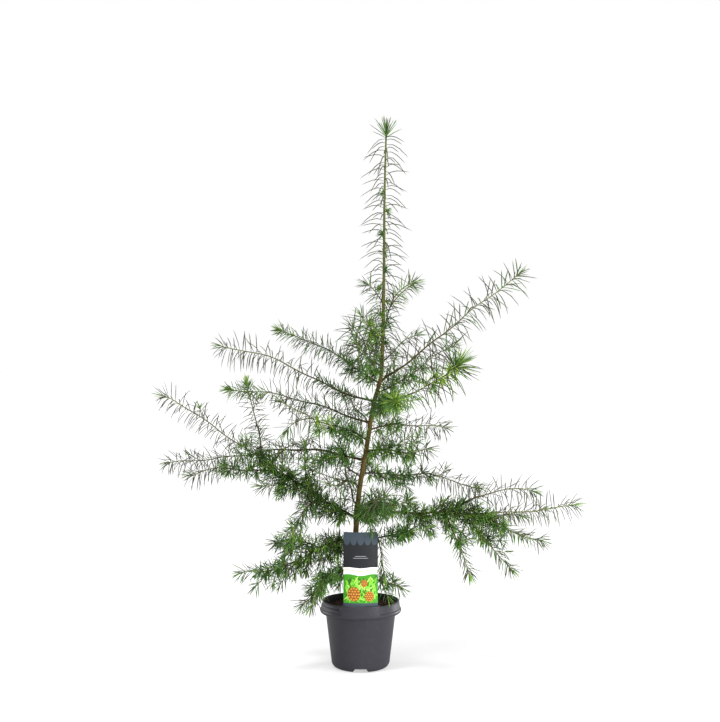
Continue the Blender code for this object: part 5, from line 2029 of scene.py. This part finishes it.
        def band(u: float, v: float) -> tuple[float, float]:
            """The white band, wavy at both edges."""
            low, high = self.band_low + 0.0016 * wave(u), self.band_high - 0.0050 + 0.0010 * wave(u)
            return -inner + 2.0 * inner * u, low + (high - low) * v

        def stripe(u: float, v: float) -> tuple[float, float]:
            """The thin orange line in the band."""
            return -inner + 2.0 * inner * u, self.band_low + 0.0085 + 0.0014 * wave(u) + 0.0016 * v

        def green(u: float, v: float) -> tuple[float, float]:
            """The green field below the band."""
            top = self.band_low + 0.0016 * wave(u)
            return -inner + 2.0 * inner * u, self.green_low + (top - self.green_low) * v

        def footing(u: float, v: float) -> tuple[float, float]:
            """The slate strip that stands in the pocket."""
            low = self.foot + 0.2 * MM
            return -inner + 2.0 * inner * u, low + (self.green_low - low) * v

        self.print_shape(SLATE_INK, 0, scallops, 120, 2)
        for half, low in ((0.0120, 0.2640), (0.0165, 0.2600)):
            self.print_shape(GREY_INK, 0, lambda u, v, h=half, z=low: (-h + 2.0 * h * u, z + 0.0013 * v), 16, 1)
        self.print_shape(GREEN_INK, 0, green, 48, 10)
        self.print_shape(SLATE_INK, 0, footing, 48, 2)
        self.print_shape(WHITE_INK, 0, band, 48, 2)
        self.print_shape(ORANGE_INK, 1, stripe, 48, 1)

    def print_leaves(self) -> None:
        """Print narrow leaves that cross each other over the field, and round berries on them."""
        inner = self.width() / 2.0 - 0.007
        dice = random.Random(SEED + 4000)
        low, high = self.green_low + 0.007, self.band_low - 0.010
        for number in range(self.leaves):
            ink = (DEEP_INK, LEAF_INK, DEEP_INK, PALE_INK, LEAF_INK)[number % 5]
            middle = (dice.uniform(-inner, inner), dice.uniform(low, high))
            angle = math.radians(90.0 + dice.uniform(-self.leaf_lean, self.leaf_lean))
            length = dice.uniform(*self.leaf_length)
            self.print_shape(ink, 1.0 + number / self.leaves, self.oval(middle, angle, length, 0.0030, 0.8), 8, 2)
        for across, height, size in self.berries:
            self.print_shape(BERRY_INK, 3.0, self.oval((across, height), math.pi / 2.0, 1.1 * size, size), 24, 12)
            for number in range(19):
                ring = 0.0 if number == 0 else 0.21 if number < 7 else 0.40
                angle = math.tau * number / (6.0 if number < 7 else 12.0)
                middle = (across + ring * size * math.cos(angle), height + 1.1 * ring * size * math.sin(angle))
                self.print_shape(ORANGE_INK, 4.0, self.oval(middle, 0.0, 0.155 * size, 0.12 * size), 10, 4)


# Studio


@dataclass
class Studio:
    """The pale floor, the soft light and the camera."""

    camera_place: tuple[float, float, float] = (-0.0014, -2.6, 0.697)
    lens_mm: float = 56.65
    sensor_mm: float = 36.0
    aim: tuple[float, float, float] = (0.0, 0.0, 0.2)
    floor_radius: float = 60.0
    floor_drop: float = 0.0004
    floor_glow: float = 0.49
    sky_light: float = 0.66
    sun_power: float = 2.1
    sun_spread: float = math.radians(15.0)

    def add_camera(self) -> None:
        """Set the camera level, in front of the plant."""
        data = bpy.data.cameras.new("camera")
        data.lens = self.lens_mm
        data.sensor_width = self.sensor_mm
        data.clip_end = 200.0
        camera = bpy.data.objects.new("camera", data)
        camera.location = self.camera_place
        camera.rotation_euler = (math.pi / 2.0, 0.0, 0.0)
        bpy.context.scene.collection.objects.link(camera)
        bpy.context.scene.camera = camera

    def add_floor(self) -> None:
        """Lay the pale floor, a light table whose glow softens the shadow that the eye sees."""
        form = bmesh.new()
        bmesh.ops.create_circle(form, cap_ends=True, segments=96, radius=self.floor_radius)
        mesh = bpy.data.meshes.new("floor")
        form.to_mesh(mesh)
        form.free()
        material = bpy.data.materials.new("pale_floor")
        material.use_nodes = True
        tree = material.node_tree
        shader = tree.nodes["Principled BSDF"]
        shader.inputs["Base Color"].default_value = linear("#bcbcbc")
        shader.inputs["Roughness"].default_value = 0.9
        shader.inputs["Specular IOR Level"].default_value = 0.0
        shader.inputs["Emission Color"].default_value = (1.0, 1.0, 1.0, 1.0)
        path = add_node(tree, "ShaderNodeLightPath")
        glow = add_node(tree, "ShaderNodeMath", settings={"operation": "MULTIPLY"},
                        values={1: self.floor_glow}, links={0: (path, "Is Camera Ray")})
        tree.links.new(glow.outputs[0], shader.inputs["Emission Strength"])
        mesh.materials.append(material)
        floor = bpy.data.objects.new("floor", mesh)
        floor.location = (0.0, 0.0, -self.floor_drop)
        bpy.context.scene.collection.objects.link(floor)

    def add_light(self, name: str, place: tuple[float, float, float], size: tuple[float, float],
                  power: float, mirrored: bool = True) -> None:
        """Add a soft box.

        Args:
            name: its name.
            place: where it stands.
            size: its width and height.
            power: in watts.
            mirrored: whether glossy faces show it.
        """
        data = bpy.data.lights.new(name, "AREA")
        data.shape = "RECTANGLE"
        data.size, data.size_y = size
        data.energy = power
        light = bpy.data.objects.new(name, data)
        light.location = place
        light.rotation_euler = (Vector(self.aim) - Vector(place)).to_track_quat("-Z", "Y").to_euler()
        light.visible_glossy = mirrored
        bpy.context.scene.collection.objects.link(light)

    def add_sun(self) -> None:
        """Add a broad soft key light from the upper left."""
        data = bpy.data.lights.new("key", "SUN")
        data.energy = self.sun_power
        data.angle = self.sun_spread
        light = bpy.data.objects.new("key", data)
        light.rotation_euler = Vector((0.34, 0.38, -1.0)).to_track_quat("-Z", "Y").to_euler()
        bpy.context.scene.collection.objects.link(light)

    def add_sky(self) -> None:
        """Surround the set with a white backdrop that lights it only softly."""
        world = bpy.data.worlds.new("studio")
        world.use_nodes = True
        tree = world.node_tree
        path = add_node(tree, "ShaderNodeLightPath")
        strength = add_node(tree, "ShaderNodeMapRange", values={"To Min": self.sky_light, "To Max": 1.0},
                            links={"Value": (path, "Is Camera Ray")})
        background = tree.nodes["Background"]
        background.inputs["Color"].default_value = (1.0, 1.0, 1.0, 1.0)
        tree.links.new(strength.outputs["Result"], background.inputs["Strength"])
        bpy.context.scene.world = world

    def build(self) -> None:
        """Set up the studio."""
        bpy.context.scene.view_settings.view_transform = "Standard"
        self.add_sky()
        self.add_camera()
        self.add_floor()
        self.add_sun()
        self.add_light("left_box", (-1.6, 0.6, 0.40), (1.0, 0.5), 9.0)
        self.add_light("right_box", (1.6, 0.9, 0.30), (0.8, 0.4), 14.0)
        self.add_light("fill_box", (0.5, -2.2, 0.35), (1.2, 0.4), 26.0, False)
        self.add_light("side_box", (1.2, -1.0, 0.22), (0.9, 0.4), 22.0, False)
        self.add_light("strip_light", (1.25, -1.30, 0.10), (0.8, 0.12), 3.0)


def main() -> None:
    """Build the studio, the pot, the trunk and the crown, and report each piece."""
    logging.basicConfig(level=logging.INFO, format="%(name)s: %(message)s")
    materials: dict[str, bpy.types.Material] = {}
    Studio().build()
    pot = Pot()
    pot.build(materials)
    Soil().build(pot, materials)
    Label().build(materials)
    crown = Crown()
    leader = Leader()
    leader.build_trunk(materials)
    crown.grow(materials)
    leader.clothe(crown)
    foliage_nodes = [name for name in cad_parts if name.startswith("foliage_")]
    finish_piece("twigs", crown.twigs.mesh("twigs"), SHOOT, materials, foliage_nodes)
    finish_piece("spurs", crown.spurs.mesh("spurs"), SHOOT, materials)
    total = crown.foliage.build(materials, foliage_nodes)
    LOG.info("needles: %d triangles", total)
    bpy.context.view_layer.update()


if __name__ == "__main__":
    main()
